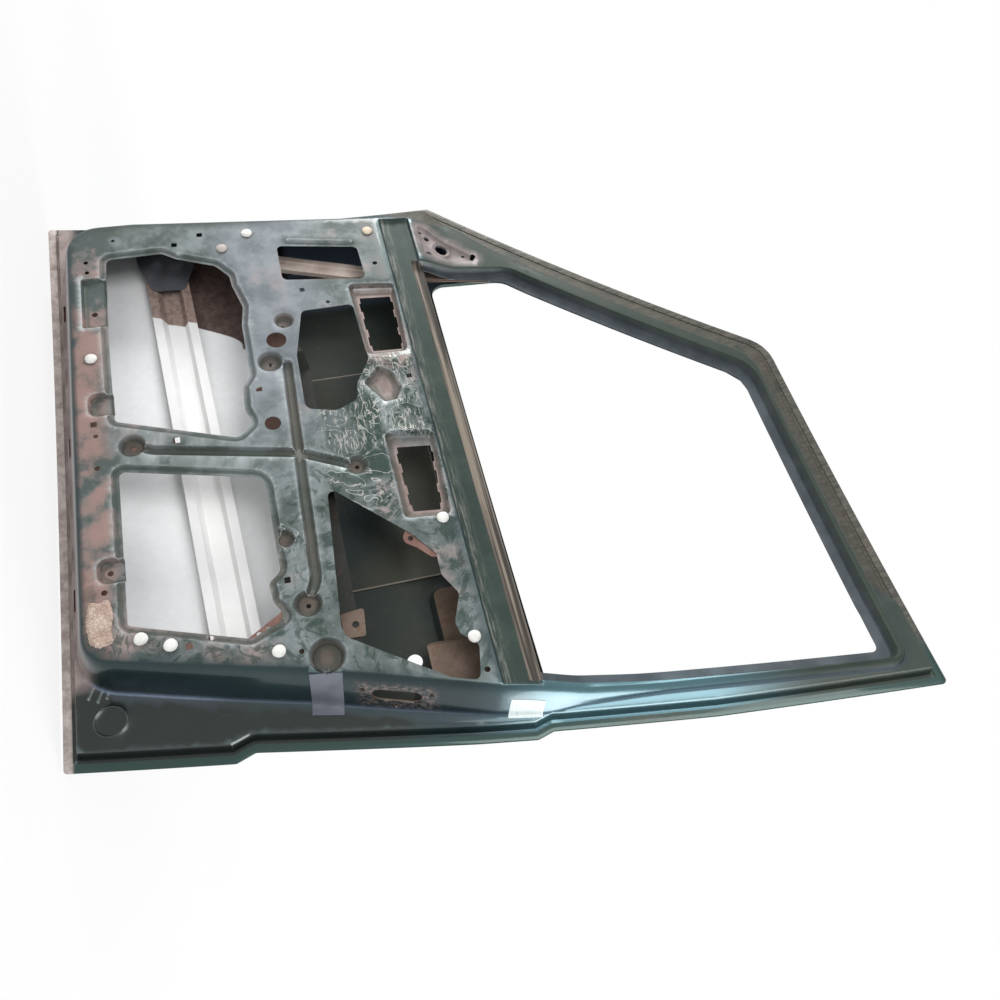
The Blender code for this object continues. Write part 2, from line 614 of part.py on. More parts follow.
def pressing(name, outline, openings, rings, level, thickness, material, place=None, loose=()):
    """Sheet cut flat, pushed out to a level, and given its thickness on the far side."""
    flat, triangles = cut_sheet(outline, openings, rings, loose)
    heights = level(flat)
    vertices = [(p[0], h, p[1]) for p, h in zip(flat, heights)]
    return add_object(name, vertices, [tuple(t) for t in triangles.tolist()], material,
                      place, thickness)


def swept(name, section, path, level, thickness, material):
    """Open section carried along a path; section points are (outward, height over a level)."""
    path = np.asarray(path, float)
    ahead = np.gradient(path, axis=0)
    ahead /= np.linalg.norm(ahead, axis=1)[:, None]
    out = np.stack([-ahead[:, 1], ahead[:, 0]], axis=1)
    across = len(section)
    vertices = []
    for point, side in zip(path, out):
        places = np.array([point + side * reach for reach, _ in section])
        heights = level(places) + np.array([height for _, height in section])
        vertices.extend((p[0], h, p[1]) for p, h in zip(places, heights))
    faces = []
    for i in range(len(path) - 1):
        for j in range(across - 1):
            a = i * across + j
            faces.append((a, a + 1, a + across + 1, a + across))
    return add_object(name, vertices, faces, material, None, thickness)


def turned(name, profile, place, material, sides):
    """Solid of revolution about the local z axis, from a profile that runs down its outside."""
    points = [Vector((r * MM, 0, h * MM)) for r, h in profile]
    edges = [(k, k + 1) for k in range(len(points) - 1)]
    if profile[0] == profile[-1]:
        points = points[:-1]
        edges[-1] = (len(points) - 1, 0)
    mesh = bpy.data.meshes.new(name)
    mesh.from_pydata(points, edges, [])
    mesh.materials.append(finish(material))
    built = bpy.data.objects.new(name, mesh)
    DOOR.objects.link(built)
    place = place.copy()
    place.translation *= MM
    built.matrix_world = Matrix.Translation(-ORIGIN * MM) @ place
    spin = built.modifiers.new("turn", "SCREW")
    spin.steps = sides
    spin.render_steps = sides
    spin.use_merge_vertices = True
    spin.merge_threshold = 0.00001
    spin.use_smooth_shade = True
    return built


def inner_panel_openings():
    """Every hole of the inner panel, as (x, z) points."""
    holes = [rounded(corners) for corners in OPENINGS.values()]
    holes.append(WINDOW_LINE)
    holes += [round_hole(x, z, r) for x, z, r in ROUND_HOLES + SAIL_HOLES]
    holes += [square(x, z, side) for x, z, side in SQUARE_HOLES]
    holes += [circle(x, z, PLUG_HOLE, 8) for x, z in PLUG_PLACES]
    for height in HINGE_HEIGHTS:
        for side in (-0.5, 0.5):
            bolt = circle(side * HINGE_BOLT_SPREAD, 0.0, HINGE_BOLT_HOLE, 8)
            holes.append(on_wall(HINGE_EDGE, hinge_along(height), HINGE_DOWN, bolt))
    strap = oblong(*CHECK_STRAP_SLOT)
    holes.append(on_wall(HINGE_EDGE, hinge_along(CHECK_STRAP_HEIGHT), HINGE_DOWN, strap))
    holes.append(on_wall(LATCH_EDGE, LATCH_ALONG, LATCH_DOWN, oblong(*LATCH_SLOT)))
    for along, down in LATCH_SCREWS:
        screw = circle(0.0, 0.0, LATCH_SCREW_HOLE, 6)
        holes.append(on_wall(LATCH_EDGE, LATCH_ALONG + along, LATCH_DOWN + down, screw))
    for x in DRAIN_SLOTS:
        holes.append(np.array(oblong(*DRAIN_SLOT)) + np.array([x, DRAIN_HEIGHT]))
    return holes


def foot_ring():
    """Where the shut walls reach the seal land."""
    ahead = np.roll(RIDGE_LINE, -1, axis=0) - np.roll(RIDGE_LINE, 1, axis=0)
    ahead /= np.linalg.norm(ahead, axis=1)[:, None]
    out = np.stack([ahead[:, 1], -ahead[:, 0]], axis=1)
    out *= np.sign(np.sum(out * (RIDGE_LINE - np.mean(RIDGE_LINE, axis=0)), axis=1))[:, None]
    x, z = RIDGE_LINE.T
    reach = (land_y(x, z) - face_y(x, z)) / WALL_SLOPE
    return RIDGE_LINE + out * reach[:, None]


def build_inner_panel():
    """Inner panel and window frame, one pressing."""
    rings = [rounded(inset(DOOR_OUTLINE, HEM_FLANGE)),
             rounded(inset(DOOR_OUTLINE, HEM_FLANGE + HEM_STEP)), RIDGE_LINE,
             rounded(inset(RIDGE_OUTLINE, RIDGE_FILLET)),
             rounded(inset(RIDGE_OUTLINE, -RIDGE_FILLET)),
             foot_ring(), REBATE_LINE, rounded(inset(REBATE_OUTLINE, REBATE_WALL)),
             rounded(BELT_BAND), rounded(inset(BELT_BAND, REBATE_WALL)),
             rounded(SAIL), rounded(inset(SAIL, REBATE_WALL))]
    for corners, _, wall in PATCHES:
        rings += [rounded(corners), rounded(inset(corners, wall))]
    for name in RIMMED:
        rings += [rounded(inset(OPENINGS[name], -RIM_WIDTH)),
                  rounded(inset(OPENINGS[name], -RIM_WIDTH + REBATE_WALL))]
    for path, half, _ in GROOVES:
        rings += [stroke(path, half), stroke(path, half - GROOVE_WALL)]
    for x, z, radius, _ in CUPS:
        rings += [circle(x, z, radius, 10), circle(x, z, radius - CUP_WALL, 8)]
    for start, end, half, _ in BEADS:
        rings += [stroke([start, end], half), stroke([start, end], half * (1 - BEAD_WALL))]
    front = BELT_BAND[0][0]
    rings.append(rounded([(front + REBATE_WALL, FRAME_START, 0),
                          (REBATE_OUTLINE[0][0], FRAME_START, 0)], closed=False, step=FOLD_STEP))
    along, heights = PANEL_GRID
    grid = [(x, z) for x in np.arange(*along) for z in heights]
    return pressing("inner_panel", DOOR_LINE, inner_panel_openings(), rings, panel_y,
                    PANEL_THICKNESS, "dull_green_paint", loose=grid)


def skin_window():
    """Window opening of the skin, wider than the inner panel's but for its raised lower edge."""
    grown = inset(WINDOW_OPENING, -SKIN_WINDOW_GROW)
    for low, high in ((0, 1), (-1, -2)):
        (x0, z0, radius), (x1, z1, _) = grown[low], grown[high]
        x = x0 + (x1 - x0) * (SKIN_BELT_HEIGHT - z0) / (z1 - z0)
        grown[low] = (x, SKIN_BELT_HEIGHT, radius)
    return grown


def skin_level(points):
    """Outboard face of the skin with its handle cup."""
    cup = HANDLE_DEPTH * ramp(signed_distance(rounded(HANDLE_CUP), points), HANDLE_WALL)
    return skin_y(points[:, 0], points[:, 1]) - cup


def build_outer_skin():
    """Outer skin, folded over the inner panel's flange and into the window opening."""
    edge = rounded(inset(DOOR_OUTLINE, -HEM_REACH))
    window = rounded(skin_window())
    holes = [rounded(s) for s in HANDLE_SLOTS] + [circle(*LOCK_PLACE, LOCK_HOLE, 12)]
    rings = [rounded(HANDLE_CUP), rounded(inset(HANDLE_CUP, HANDLE_WALL)),
             rounded(inset(DOOR_OUTLINE, HEM_FLANGE + HEM_STEP))]
    along, upwards = SKIN_GRID
    grid = [(x, z) for x in np.arange(*along) for z in np.arange(*upwards)]
    flat, triangles = cut_sheet(edge, [window] + holes, rings, grid)
    vertices = [(p[0], h, p[1]) for p, h in zip(flat, skin_level(flat))]
    faces = [tuple(t) for t in triangles[:, ::-1].tolist()]
    skin = add_object("outer_skin", vertices, faces, "green_paint", None, SKIN_THICKNESS)
    returned = rounded(inset(DOOR_OUTLINE, HEM_RETURN))
    fold_edge(skin, edge, lambda p: (p[0], skin_y(*p) - HEM_STACK, p[1]))
    fold_edge(skin, edge, lambda p: hem_return_point(p, returned))
    fold_edge(skin, window, lambda p: (p[0], skin_y(*p) - SKIN_FLANGE, p[1]))
    return skin


def hem_return_point(point, returned):
    """Place on the inner line of the folded hem nearest to a point of its edge."""
    spot = nearest_on(returned, np.array(point))
    x, z = spot + (np.array(point) - spot) * CORNER_SPREAD
    return (x, skin_y(x, z) - HEM_STACK, z)


def fold_edge(built, outline, target):
    """Extrude the open edges that lie on an outline and move them to a target place."""
    sheet = bmesh.new()
    sheet.from_mesh(built.data)
    open_edges = [e for e in sheet.edges if e.is_boundary]
    corners = [v.co / MM for e in open_edges for v in e.verts]
    gaps = path_distance(outline, np.array([(c.x, c.z) for c in corners]), closed=True)
    chosen = [e for k, e in enumerate(open_edges) if max(gaps[2 * k], gaps[2 * k + 1]) < ON_LINE]
    grown = bmesh.ops.extrude_edge_only(sheet, edges=chosen)["geom"]
    for vert in [g for g in grown if isinstance(g, bmesh.types.BMVert)]:
        place = vert.co / MM
        vert.co = Vector(target((place.x, place.z))) * MM
    sheet.to_mesh(built.data)
    sheet.free()


def nearest_on(outline, point):
    """Nearest point of a closed outline."""
    starts, ends = outline, np.roll(outline, -1, axis=0)
    runs = ends - starts
    along = np.sum((point - starts) * runs, axis=1) / np.maximum(np.sum(runs ** 2, axis=1), 1e-9)
    spots = starts + runs * np.clip(along, 0.0, 1.0)[:, None]
    return spots[np.argmin(np.linalg.norm(spots - point, axis=1))]


def run_level(points):
    """Level of a glass channel's inner leg, just behind the rebate lip."""
    lip = REBATE_DEPTH + PANEL_THICKNESS + CURVED_FIT + GUIDE_THICKNESS
    return frame_y(points[:, 0], points[:, 1]) + lip


def window_edge(index, height):
    """Place at a height on one straight edge of the window opening, or on its extension."""
    (x0, z0), (x1, z1) = WINDOW_OPENING[index][:2], WINDOW_OPENING[index - 4][:2]
    return (x0 + (x1 - x0) * (height - z0) / (z1 - z0), height)


def build_glass_runs():
    """Front guide, window channel and rear guide, each a channel open to the glass."""
    section = [(GUIDE_NEAR, 0.0), (GUIDE_FAR, 0.0), (GUIDE_FAR, GUIDE_DEPTH),
               (GUIDE_RETURN, GUIDE_DEPTH)]
    front = [window_edge(0, z) + (0,) for z in FRONT_GUIDE_SPAN]
    rear = [window_edge(3, z) + (0,) for z in REAR_GUIDE_SPAN[::-1]]
    roof = WINDOW_OPENING[2][1] + (WINDOW_OPENING[3][1] - WINDOW_OPENING[2][1]) * (
        CHANNEL_END - WINDOW_OPENING[2][0]) / (WINDOW_OPENING[3][0] - WINDOW_OPENING[2][0])
    over = [window_edge(0, CHANNEL_START) + (0,)] + WINDOW_OPENING[1:3] + [(CHANNEL_END, roof, 0)]
    for name, path in (("front_glass_guide", front), ("window_channel", over),
                       ("rear_glass_guide", rear)):
        swept(name, section, rounded(path, closed=False, step=GUIDE_STEP), run_level,
              GUIDE_THICKNESS, "slate_primer")


def build_guide_bracket():
    """Wide bracket on the inboard leg of the rear guide, its front edge turned outboard."""
    start, width, height = GUIDE_BRACKET_LIP
    thickness = SMALL_BRACKET_THICKNESS
    def level(points):
        lip = height * np.clip((start - points[:, 0]) / width, 0.0, 1.0)
        return run_level(points) - GUIDE_THICKNESS - CURVED_FIT - thickness + lip
    fold = [(start, GUIDE_BRACKET[0][1] + GUIDE_FOLD_MARGIN),
            (start, GUIDE_BRACKET[1][1] - GUIDE_FOLD_MARGIN)]
    pressing("rear_guide_bracket", rounded(GUIDE_BRACKET), [], [np.array(fold)], level,
             thickness, "primer_brown")


def panel_strip(name, bounds, cuts, level, thickness, material):
    """Long pressed strip with bends along the given heights."""
    front, rear, low, high = bounds
    outline = [(x, z, STRIP_CORNER) for x, z in ((front, low), (rear, low), (rear, high),
                                                 (front, high))]
    ends = (front + STRIP_BEND_MARGIN, rear - STRIP_BEND_MARGIN)
    lines = [rounded([(x, z, 0) for x in ends], closed=False) for z in cuts]
    pressing(name, rounded(outline), [], lines, level, thickness, material)


def build_belt_reinforcements():
    """Strips along the glass slot: one behind the belt band, one inside the skin."""
    start, end, height = INNER_BELT_STEP
    def inner(points):
        seat = BELT_BAND_DEPTH + PANEL_THICKNESS + FIT
        return seat + height * np.clip((points[:, 1] - start) / (end - start), 0.0, 1.0)
    panel_strip("belt_reinforcement_inner", INNER_BELT, (start, end), inner, BELT_THICKNESS,
                "primer_brown")
    low, high, wall, raised = OUTER_BELT_RAISED
    def outer(points):
        x, z = points[:, 0], points[:, 1]
        into = np.clip(np.minimum(z - low + wall, high + wall - z) / wall, 0.0, 1.0)
        return skin_y(x, z) - SKIN_THICKNESS - CURVED_FIT - BELT_THICKNESS - raised * into
    panel_strip("belt_reinforcement_outer", OUTER_BELT, (low - wall, low, high, high + wall),
                outer, BELT_THICKNESS, "primer_brown")


def band(line, half):
    """Corners of a straight band about a line."""
    a, b = np.array(line[0], float), np.array(line[1], float)
    side = np.array([a[1] - b[1], b[0] - a[0]]) / np.linalg.norm(b - a) * half
    return [tuple(p) + (0,) for p in (a - side, b - side, b + side, a + side)]


def build_intrusion_beam():
    """Hat beam near the skin, carried by a bracket behind the seal land at each end."""
    land_back = LAND_DEPTH - PANEL_THICKNESS - CURVED_FIT
    flange = land_back - BRACKET_THICKNESS - BEAM_FIT
    foot, wall, height = BEAM_HAT
    edge_step, foot_step, top_step = BEAM_STEPS
    def bracket_level(points):
        return skin_y(points[:, 0], points[:, 1]) - land_back
    def beam_level(points):
        hat = height * ramp(path_distance(BEAM_LINE, points) - foot, wall)
        return skin_y(points[:, 0], points[:, 1]) - flange + hat
    outline = rounded(band(BEAM_LINE, BEAM_HALF), step=edge_step)
    rings = [rounded(band(BEAM_LINE, foot), step=foot_step),
             rounded(band(BEAM_LINE, foot - wall), step=top_step)]
    pressing("intrusion_beam", outline, [], rings, beam_level, BEAM_THICKNESS, "primer_brown")
    for name, corners in (("beam_bracket_front", FRONT_BRACKET),
                          ("beam_bracket_rear", REAR_BRACKET)):
        middle = tuple(np.mean([c[:2] for c in corners], axis=0))
        pressing(name, rounded(corners), [], [], bracket_level, BRACKET_THICKNESS,
                 "slate_primer", loose=[middle])


def build_stiffener():
    """Long strip behind the trim flat, stepped down to the panel at its feet."""
    seat = PANEL_THICKNESS + FIT
    def level(points):
        x = points[:, 0]
        away = np.full(len(x), 1e9)
        for start, end in STIFFENER_FEET:
            away = np.minimum(away, np.maximum(start - x, x - end))
        rise = np.clip(away / STIFFENER_RAMP, 0.0, 1.0)
        return seat + (STIFFENER_HEIGHT - seat) * rise
    bends = [x for start, end in STIFFENER_FEET
             for x in (start - STIFFENER_RAMP, start, end, end + STIFFENER_RAMP)]
    heights = [c[1] for c in STIFFENER]
    low, high = min(heights) - STIFFENER_OVERRUN, max(heights) + STIFFENER_OVERRUN
    lines = [np.array([(x, low), (x, high)]) for x in bends]
    pressing("cross_stiffener", rounded(STIFFENER), [], lines, level, STIFFENER_THICKNESS,
             "slate_primer")
    under = STIFFENER_HEIGHT - FIT - SMALL_BRACKET_THICKNESS
    pressing("stiffener_bracket", rounded(STIFFENER_BRACKET), [circle(*STIFFENER_HOLE, 10)], [],
             lambda points: np.full(len(points), under), SMALL_BRACKET_THICKNESS, "primer_brown")


def build_small_brackets():
    """Tab at the rear upper opening and corner piece at the rear lower one."""
    behind_flat = PANEL_THICKNESS + FIT
    pressing("tab_bracket", rounded(TAB_BRACKET), [circle(*TAB_HOLE, 10)], [],
             lambda points: np.full(len(points), behind_flat), SMALL_BRACKET_THICKNESS,
             "primer_brown")
    holes = [circle(*hole, 8) for hole in CORNER_BRACKET_HOLES]
    pressing("corner_bracket", rounded(CORNER_BRACKET), holes, [],
             lambda points: np.full(len(points), RIM_DEPTH + behind_flat),
             SMALL_BRACKET_THICKNESS, "primer_brown")


def plate_frame(edge, along, down):
    """Frame of a plate behind a shut wall: x along the edge, y into the door, z down the wall."""
    wall = wall_frame(edge, along, down)
    falling, out = wall.col[1].to_3d(), wall.col[2].to_3d()
    turn = Matrix((falling.cross(out), -out, falling)).transposed().to_4x4()
    return Matrix.Translation(wall.translation) @ turn


def build_wall_plates():
    """Hinge and latch reinforcements, flat against the backs of the shut walls."""
    seat = PANEL_THICKNESS + FIT
    def level(points):
        return np.full(len(points), seat)
    bolts = [circle(side * HINGE_BOLT_SPREAD, 0.0, HINGE_BOLT_HOLE, 8) for side in (-0.5, 0.5)]
    for name, height in zip(("hinge_reinforcement_lower", "hinge_reinforcement_upper"),
                            HINGE_HEIGHTS):
        pressing(name, rounded(HINGE_PLATE), bolts, [], level, HINGE_PLATE_THICKNESS,
                 "primer_brown", plate_frame(HINGE_EDGE, hinge_along(height), HINGE_DOWN))
    holes = [np.array(oblong(*LATCH_SLOT))]
    holes += [circle(u, v, LATCH_SCREW_HOLE, 6) for u, v in LATCH_SCREWS]
    pressing("latch_reinforcement", rounded(LATCH_PLATE), holes, [], level,
             LATCH_PLATE_THICKNESS, "primer_brown",
             plate_frame(LATCH_EDGE, LATCH_ALONG, LATCH_DOWN))


def build_mirror_plate():
    """Plate behind the mirror sail, with holes that line up with the sail's."""
    def level(points):
        slope = 1.0 + MIRROR_PLATE_SLACK
        return panel_y(points) + PANEL_THICKNESS * slope + CURVED_FIT
    outline = rounded(inset(SAIL, MIRROR_PLATE_INSET), step=MIRROR_PLATE_STEP)
    x0, x1 = min(p[0] for p in outline), max(p[0] for p in outline)
    grid = [(x, z) for z in MIRROR_PLATE_ROWS for x in np.arange(x0, x1, MIRROR_PLATE_STEP)]
    grid = [p for p in grid if inside(outline, np.array([p]))[0]]
    holes = [round_hole(x, z, r) for x, z, r in SAIL_HOLES
             if signed_distance(outline, np.array([(x, z)]))[0] < -r - 0.5]
    pressing("mirror_reinforcement", outline, holes, [], level, MIRROR_PLATE_THICKNESS,
             "primer_brown", loose=grid)


def build_skin_plates():
    """Handle reinforcement behind the handle cup's floor, and the damping sheet."""
    def behind_cup(points):
        skin = skin_y(points[:, 0], points[:, 1]) - HANDLE_DEPTH - SKIN_THICKNESS
        return skin - CURVED_FIT - HANDLE_PLATE_THICKNESS
    slots = [rounded(inset(slot, -HANDLE_PLATE_CLEAR)) for slot in HANDLE_SLOTS]
    pressing("handle_reinforcement", rounded(HANDLE_PLATE), slots, [], behind_cup,
             HANDLE_PLATE_THICKNESS, "primer_brown")
    def behind_skin(points):
        skin = skin_y(points[:, 0], points[:, 1]) - SKIN_THICKNESS
        return skin - CURVED_FIT - DAMPING_THICKNESS
    (x0, z0), (x1, z1) = DAMPING_SHEET[0][:2], DAMPING_SHEET[2][:2]
    stations, heights = (np.linspace(start, end, count)[1:-1]
                         for start, end, count in zip((x0, z0), (x1, z1), DAMPING_GRID))
    grid = [(x, z) for x in stations for z in heights]
    pressing("skin_damping_sheet", rounded(DAMPING_SHEET), [], [], behind_skin,
             DAMPING_THICKNESS, "bitumen", loose=grid)


def build_fasteners():
    """Trim plugs in the flat and weld nuts behind its cups."""
    levels = panel_y(np.array(PLUG_PLACES, float))
    inboard = Matrix.Rotation(math.pi / 2, 4, "X")
    for k, ((x, z), y) in enumerate(zip(PLUG_PLACES, levels)):
        place = Matrix.Translation((x, y, z)) @ inboard
        turned(f"trim_plug_{k + 1}", PLUG_PROFILE, place, "cream_plastic", PLUG_SIDES)
    outboard = Matrix.Rotation(-math.pi / 2, 4, "X")
    for k, cup in enumerate(NUT_CUPS):
        x, z, _, deep = CUPS[cup]
        place = Matrix.Translation((x, deep + PANEL_THICKNESS, z)) @ outboard
        turned(f"weld_nut_{k + 1}", NUT_PROFILE, place, "bare_steel", NUT_SIDES)


def build_sealant_pad():
    """Torn pad of sealant left on the trim flat."""
    def level(points):
        return np.full(len(points), -FIT - SEALANT_THICKNESS)
    pressing("sealant_pad", rounded(SEALANT_PAD), [], [], level, SEALANT_THICKNESS, "cream_foam")


ORIGIN = wall_frame(HINGE_EDGE, hinge_along(HINGE_HEIGHTS[1]), HINGE_DOWN).translation.copy()
build_inner_panel()
build_outer_skin()
build_glass_runs()
build_guide_bracket()
build_belt_reinforcements()
build_intrusion_beam()
build_stiffener()
build_small_brackets()
build_wall_plates()
build_mirror_plate()
build_skin_plates()
build_fasteners()
build_sealant_pad()
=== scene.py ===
"""Looks of a bare car door shell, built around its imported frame.

The door's own sizes are in millimetres: x runs rearwards from the front edge at the sill, y
outboard from the trim flat, z up from the sill edge. Meshes are in metres in the frame's axes.
"""

import math
from types import SimpleNamespace

import bpy
import numpy as np
from mathutils import Matrix, Vector
from mathutils.geometry import delaunay_2d_cdt


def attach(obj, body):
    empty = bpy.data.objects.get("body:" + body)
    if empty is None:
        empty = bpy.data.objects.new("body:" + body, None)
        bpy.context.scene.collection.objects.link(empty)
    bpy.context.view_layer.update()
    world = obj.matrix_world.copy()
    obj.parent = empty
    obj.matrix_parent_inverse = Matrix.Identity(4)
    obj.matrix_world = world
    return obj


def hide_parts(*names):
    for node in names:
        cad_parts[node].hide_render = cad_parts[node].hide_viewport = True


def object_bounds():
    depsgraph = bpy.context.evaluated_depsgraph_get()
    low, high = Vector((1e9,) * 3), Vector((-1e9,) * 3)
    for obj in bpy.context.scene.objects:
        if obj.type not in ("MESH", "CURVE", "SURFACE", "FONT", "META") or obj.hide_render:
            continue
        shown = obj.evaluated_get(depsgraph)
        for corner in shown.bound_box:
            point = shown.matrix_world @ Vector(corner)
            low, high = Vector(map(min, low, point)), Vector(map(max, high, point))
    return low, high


bl_info = {
    "name": "Car door shell",
    "version": (1, 0, 0),
    "blender": (4, 5, 0),
    "location": "View3D > Sidebar > Door",
    "description": "Dresses the packed door shell with fine pressings, paint, dust and wear",
    "category": "Object",
}

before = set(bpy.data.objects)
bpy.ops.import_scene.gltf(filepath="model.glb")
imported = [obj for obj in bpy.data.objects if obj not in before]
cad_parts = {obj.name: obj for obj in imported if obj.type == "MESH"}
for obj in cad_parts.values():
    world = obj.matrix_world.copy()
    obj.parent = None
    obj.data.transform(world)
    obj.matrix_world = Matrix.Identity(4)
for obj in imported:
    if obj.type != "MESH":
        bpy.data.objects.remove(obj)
CAD_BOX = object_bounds()
BODY = "root"

# The frame's origin in the door's own millimetres
MM = 0.001
HINGE_CENTRE = (104.41975403, 34.45288086, 520.87786865)

# Outer skin
SKIN_THICKNESS = 0.8
SKIN_CROWN = 102.0
SKIN_CROWN_HEIGHT = 340.0
SKIN_CROWN_STATION = 560.0
SKIN_RADIUS_UP = 3850.0
SKIN_RADIUS_ALONG = 11000.0
HEM_RETURN = 10.0
HEM_REACH = 2.0
CORNER_SPREAD = 0.04
HEM_STACK = 3.2
HEM_ANGLES = (60.0, 30.0, 0.0, -30.0, -60.0, -90.0)     # degrees outboard of the sheet's edge

# Inner panel levels
PANEL_THICKNESS = 1.0
HEM_GAP = 2.1            # skin to the inboard face of the flange that the hem holds
HEM_FLANGE = 14.0
HEM_STEP = 6.0
LAND_DEPTH = 24.0
UPPER_LAND_DEPTH = 7.0
WALL_SLOPE = 3.3
BELT_HEIGHT = 616.0
BELT_BAND_DEPTH = 5.0
BELT_BAND_START = 557.0
FRAME_DEPTH_BELT = 60.0
FRAME_DEPTH = 40.0
FRAME_RISE = (598.0, 80.0)         # start and width of an ease, downwards where it is negative
FRAME_THINNING = (620.0, 180.0)
UPPER_LAND = (640.0, 60.0)
REAR_LAND = (1010.0, -40.0)
REBATE_DEPTH = 15.0
REBATE_WALL = 4.5
FORM_WALL = 4.5

# Corners are (x, z, radius)
DOOR_OUTLINE = [(8, 0, 4), (36, 670, 10), (504, 1167, 70), (1126, 1169, 5), (1085, 854, 60),
                (1047, 626, 8), (1053, 602, 8), (1039, 523, 60), (981, 232, 8), (990, 206, 8),
                (957, 2, 4)]
RIDGE_OUTLINE = [(84, 44, 60), (83.6, 150, 60), (129, 688, 40), (535, 1119, 75),
                 (1090, 1119, 20), (1046, 852, 60), (1011, 629, 60), (995, 556, 60),
                 (917, 314, 60), (846, 44, 45)]
WINDOW_OPENING = [(241, BELT_HEIGHT, 3), (257, 758, 45), (565, 1091, 60), (1064, 1089, 8),
                  (981, BELT_HEIGHT, 3)]
REBATE_OUTLINE = [(226, 594, 4), (238, 772, 55), (555, 1110, 70), (1083, 1107, 14),
                  (993, 594, 4)]
BELT_BAND = [(126, BELT_BAND_START, 4), (990, BELT_BAND_START, 4), (1003, 612, 4),
             (128, 612, 4)]

# Openings of the trim flat
OPENINGS = {
    "front_lower": [(160, 104, 10), (157, 190, 12), (172, 212, 8), (196, 272, 14), (222, 292, 10),
                    (244, 294, 10), (292, 306, 12), (330, 300, 12), (432, 301, 10),
                    (452, 288, 14), (494, 286, 14), (522, 295, 12), (543, 272, 14),
                    (484, 102, 8), (300, 100, 0)],
    "rear_lower": [(571, 103, 8), (617, 299, 24), (706, 300, 0), (770, 301, 14), (784, 283, 14),
                   (812, 286, 10), (838, 300, 14), (858, 252, 12), (808, 102, 8)],
    "front_upper": [(168, 376, 8), (187, 509, 10), (262, 512, 10), (246, 376, 10)],
    "middle": [(317, 396, 10), (314, 480, 10), (432, 485, 6), (474, 459, 12), (506, 454, 16),
               (521, 420, 16), (510, 374, 14), (406, 376, 6)],
    "rear_upper": [(651, 383, 8), (747, 484, 10), (786, 514, 10), (820, 514, 10), (852, 532, 12),
                   (893, 516, 12), (910, 520, 8), (930, 541, 8), (978, 531, 8), (966, 494, 6),
                   (883, 372, 12), (868, 367, 6)],
}
SLOTS = [[(297, 494), (300, 545), (413, 543), (411, 496)],
         [(598, 496), (603, 547), (715, 538), (711, 498)]]
SLOT_NOTCHES = [(0.10, 0.26), (0.40, 0.60), (0.74, 0.90)]
NOTCH_DEPTH = 2.6
RIMMED = ("front_lower", "rear_lower")
RIM_WIDTH = 11.0
RIM_DEPTH = 4.0

# Pressed forms of the trim flat
PATCHES = [
    ([(268, 478, 10), (277, 556, 10), (424, 551, 10), (423, 484, 10)], 8.0, 5.5),
    ([(572, 480, 10), (582, 557, 10), (730, 551, 10), (724, 482, 10)], 8.0, 5.5),
    ([(444, 497, 6), (462, 518, 6), (492, 528, 5), (516, 514, 5), (518, 494, 5), (476, 468, 6)],
     7.0, 5.5),
    ([(200, 64, 5), (200, 104, 3), (304, 104, 3), (304, 64, 5)], 7.0, 4.5),
    ([(430, 66, 14), (430, 106, 3), (474, 106, 3), (474, 66, 14)], 9.0, 6.0),
    ([(706, 68, 14), (706, 108, 3), (746, 108, 3), (746, 68, 14)], 9.0, 6.0),
]
BEADS = [
    ((281, 490), (287, 548), 8.0, 4.0),
    ((574, 492), (583, 548), 8.0, 4.0),
    ((434, 484), (441, 517), 7.0, 3.5),
    ((158, 398), (175, 500), 7.0, 3.5),
    ((704, 312), (720, 330), 8.0, 4.0),
]
BEAD_WALL = 0.8           # of a bead's half width
GROOVES = [
    ([(532, 124, 0), (545, 152, 30), (586, 353, 30), (622, 428, 0)], 9.0, 8.0),
    ([(421, 359, 0), (586, 353, 60), (793, 346, 40), (822, 330, 0)], 9.0, 8.0),
]
GROOVE_WALL = 5.5
CUPS = [
    (332, 366, 17, 8), (411, 334, 21, 10), (825, 330, 20, 10), (532, 124, 20, 11),
    (622, 432, 17, 8), (902, 343, 25, 13), (724, 314, 15, 6),
]
CUP_WALL = 7.5

ROUND_HOLES = [
    (371, 349, 15.5), (528, 323, 12), (340, 362, 3), (622, 432, 3.5), (825, 330, 3.5),
    (532, 124, 4), (726, 84, 4), (272, 82, 4.5), (122, 117, 3), (166, 74, 3.5), (188, 75, 3.5),
    (229, 533, 4), (304, 441, 3.5), (508, 76, 3.5), (563, 76, 4), (757, 77, 4), (846, 202, 3.5),
    (890, 312, 3.5), (966, 543, 4), (411, 334, 4.5),
]
SQUARE_HOLES = [
    (144, 212, 9), (272, 404, 8), (462, 311, 9), (487, 74, 9), (786, 308, 9), (853, 175, 9),
    (474, 541, 8), (126, 254, 9), (534, 185, 10),
]
PLUG_PLACES = [(133, 331), (163, 287), (153, 534), (366, 75), (831, 118), (847, 153), (884, 284),
               (733, 536), (918, 537)]
PLUG_HOLE = 3.6
PLUG_HEAD = 4.2           # least radius that belongs to a head's rim, not to its shank
PLUG_WOBBLE = 0.02        # share by which a head is out of round
PLUG_RIM = (1.6, -1.4)    # heights over which dirt fades out from the rim

# Mirror sail
SAIL = [(134, 622, 8), (224, 736, 8), (210, 622, 8)]
SAIL_DEPTH = 6.0
SAIL_HOLES = [(188, 660, 11), (168, 637, 5), (204, 634, 5), (209, 714, 5), (156, 628, 3),
              (203, 697, 3)]
SAIL_RING = (188, 660, 16.0)
SAIL_RING_HEIGHT = 1.2
RING_HALF = 3.0

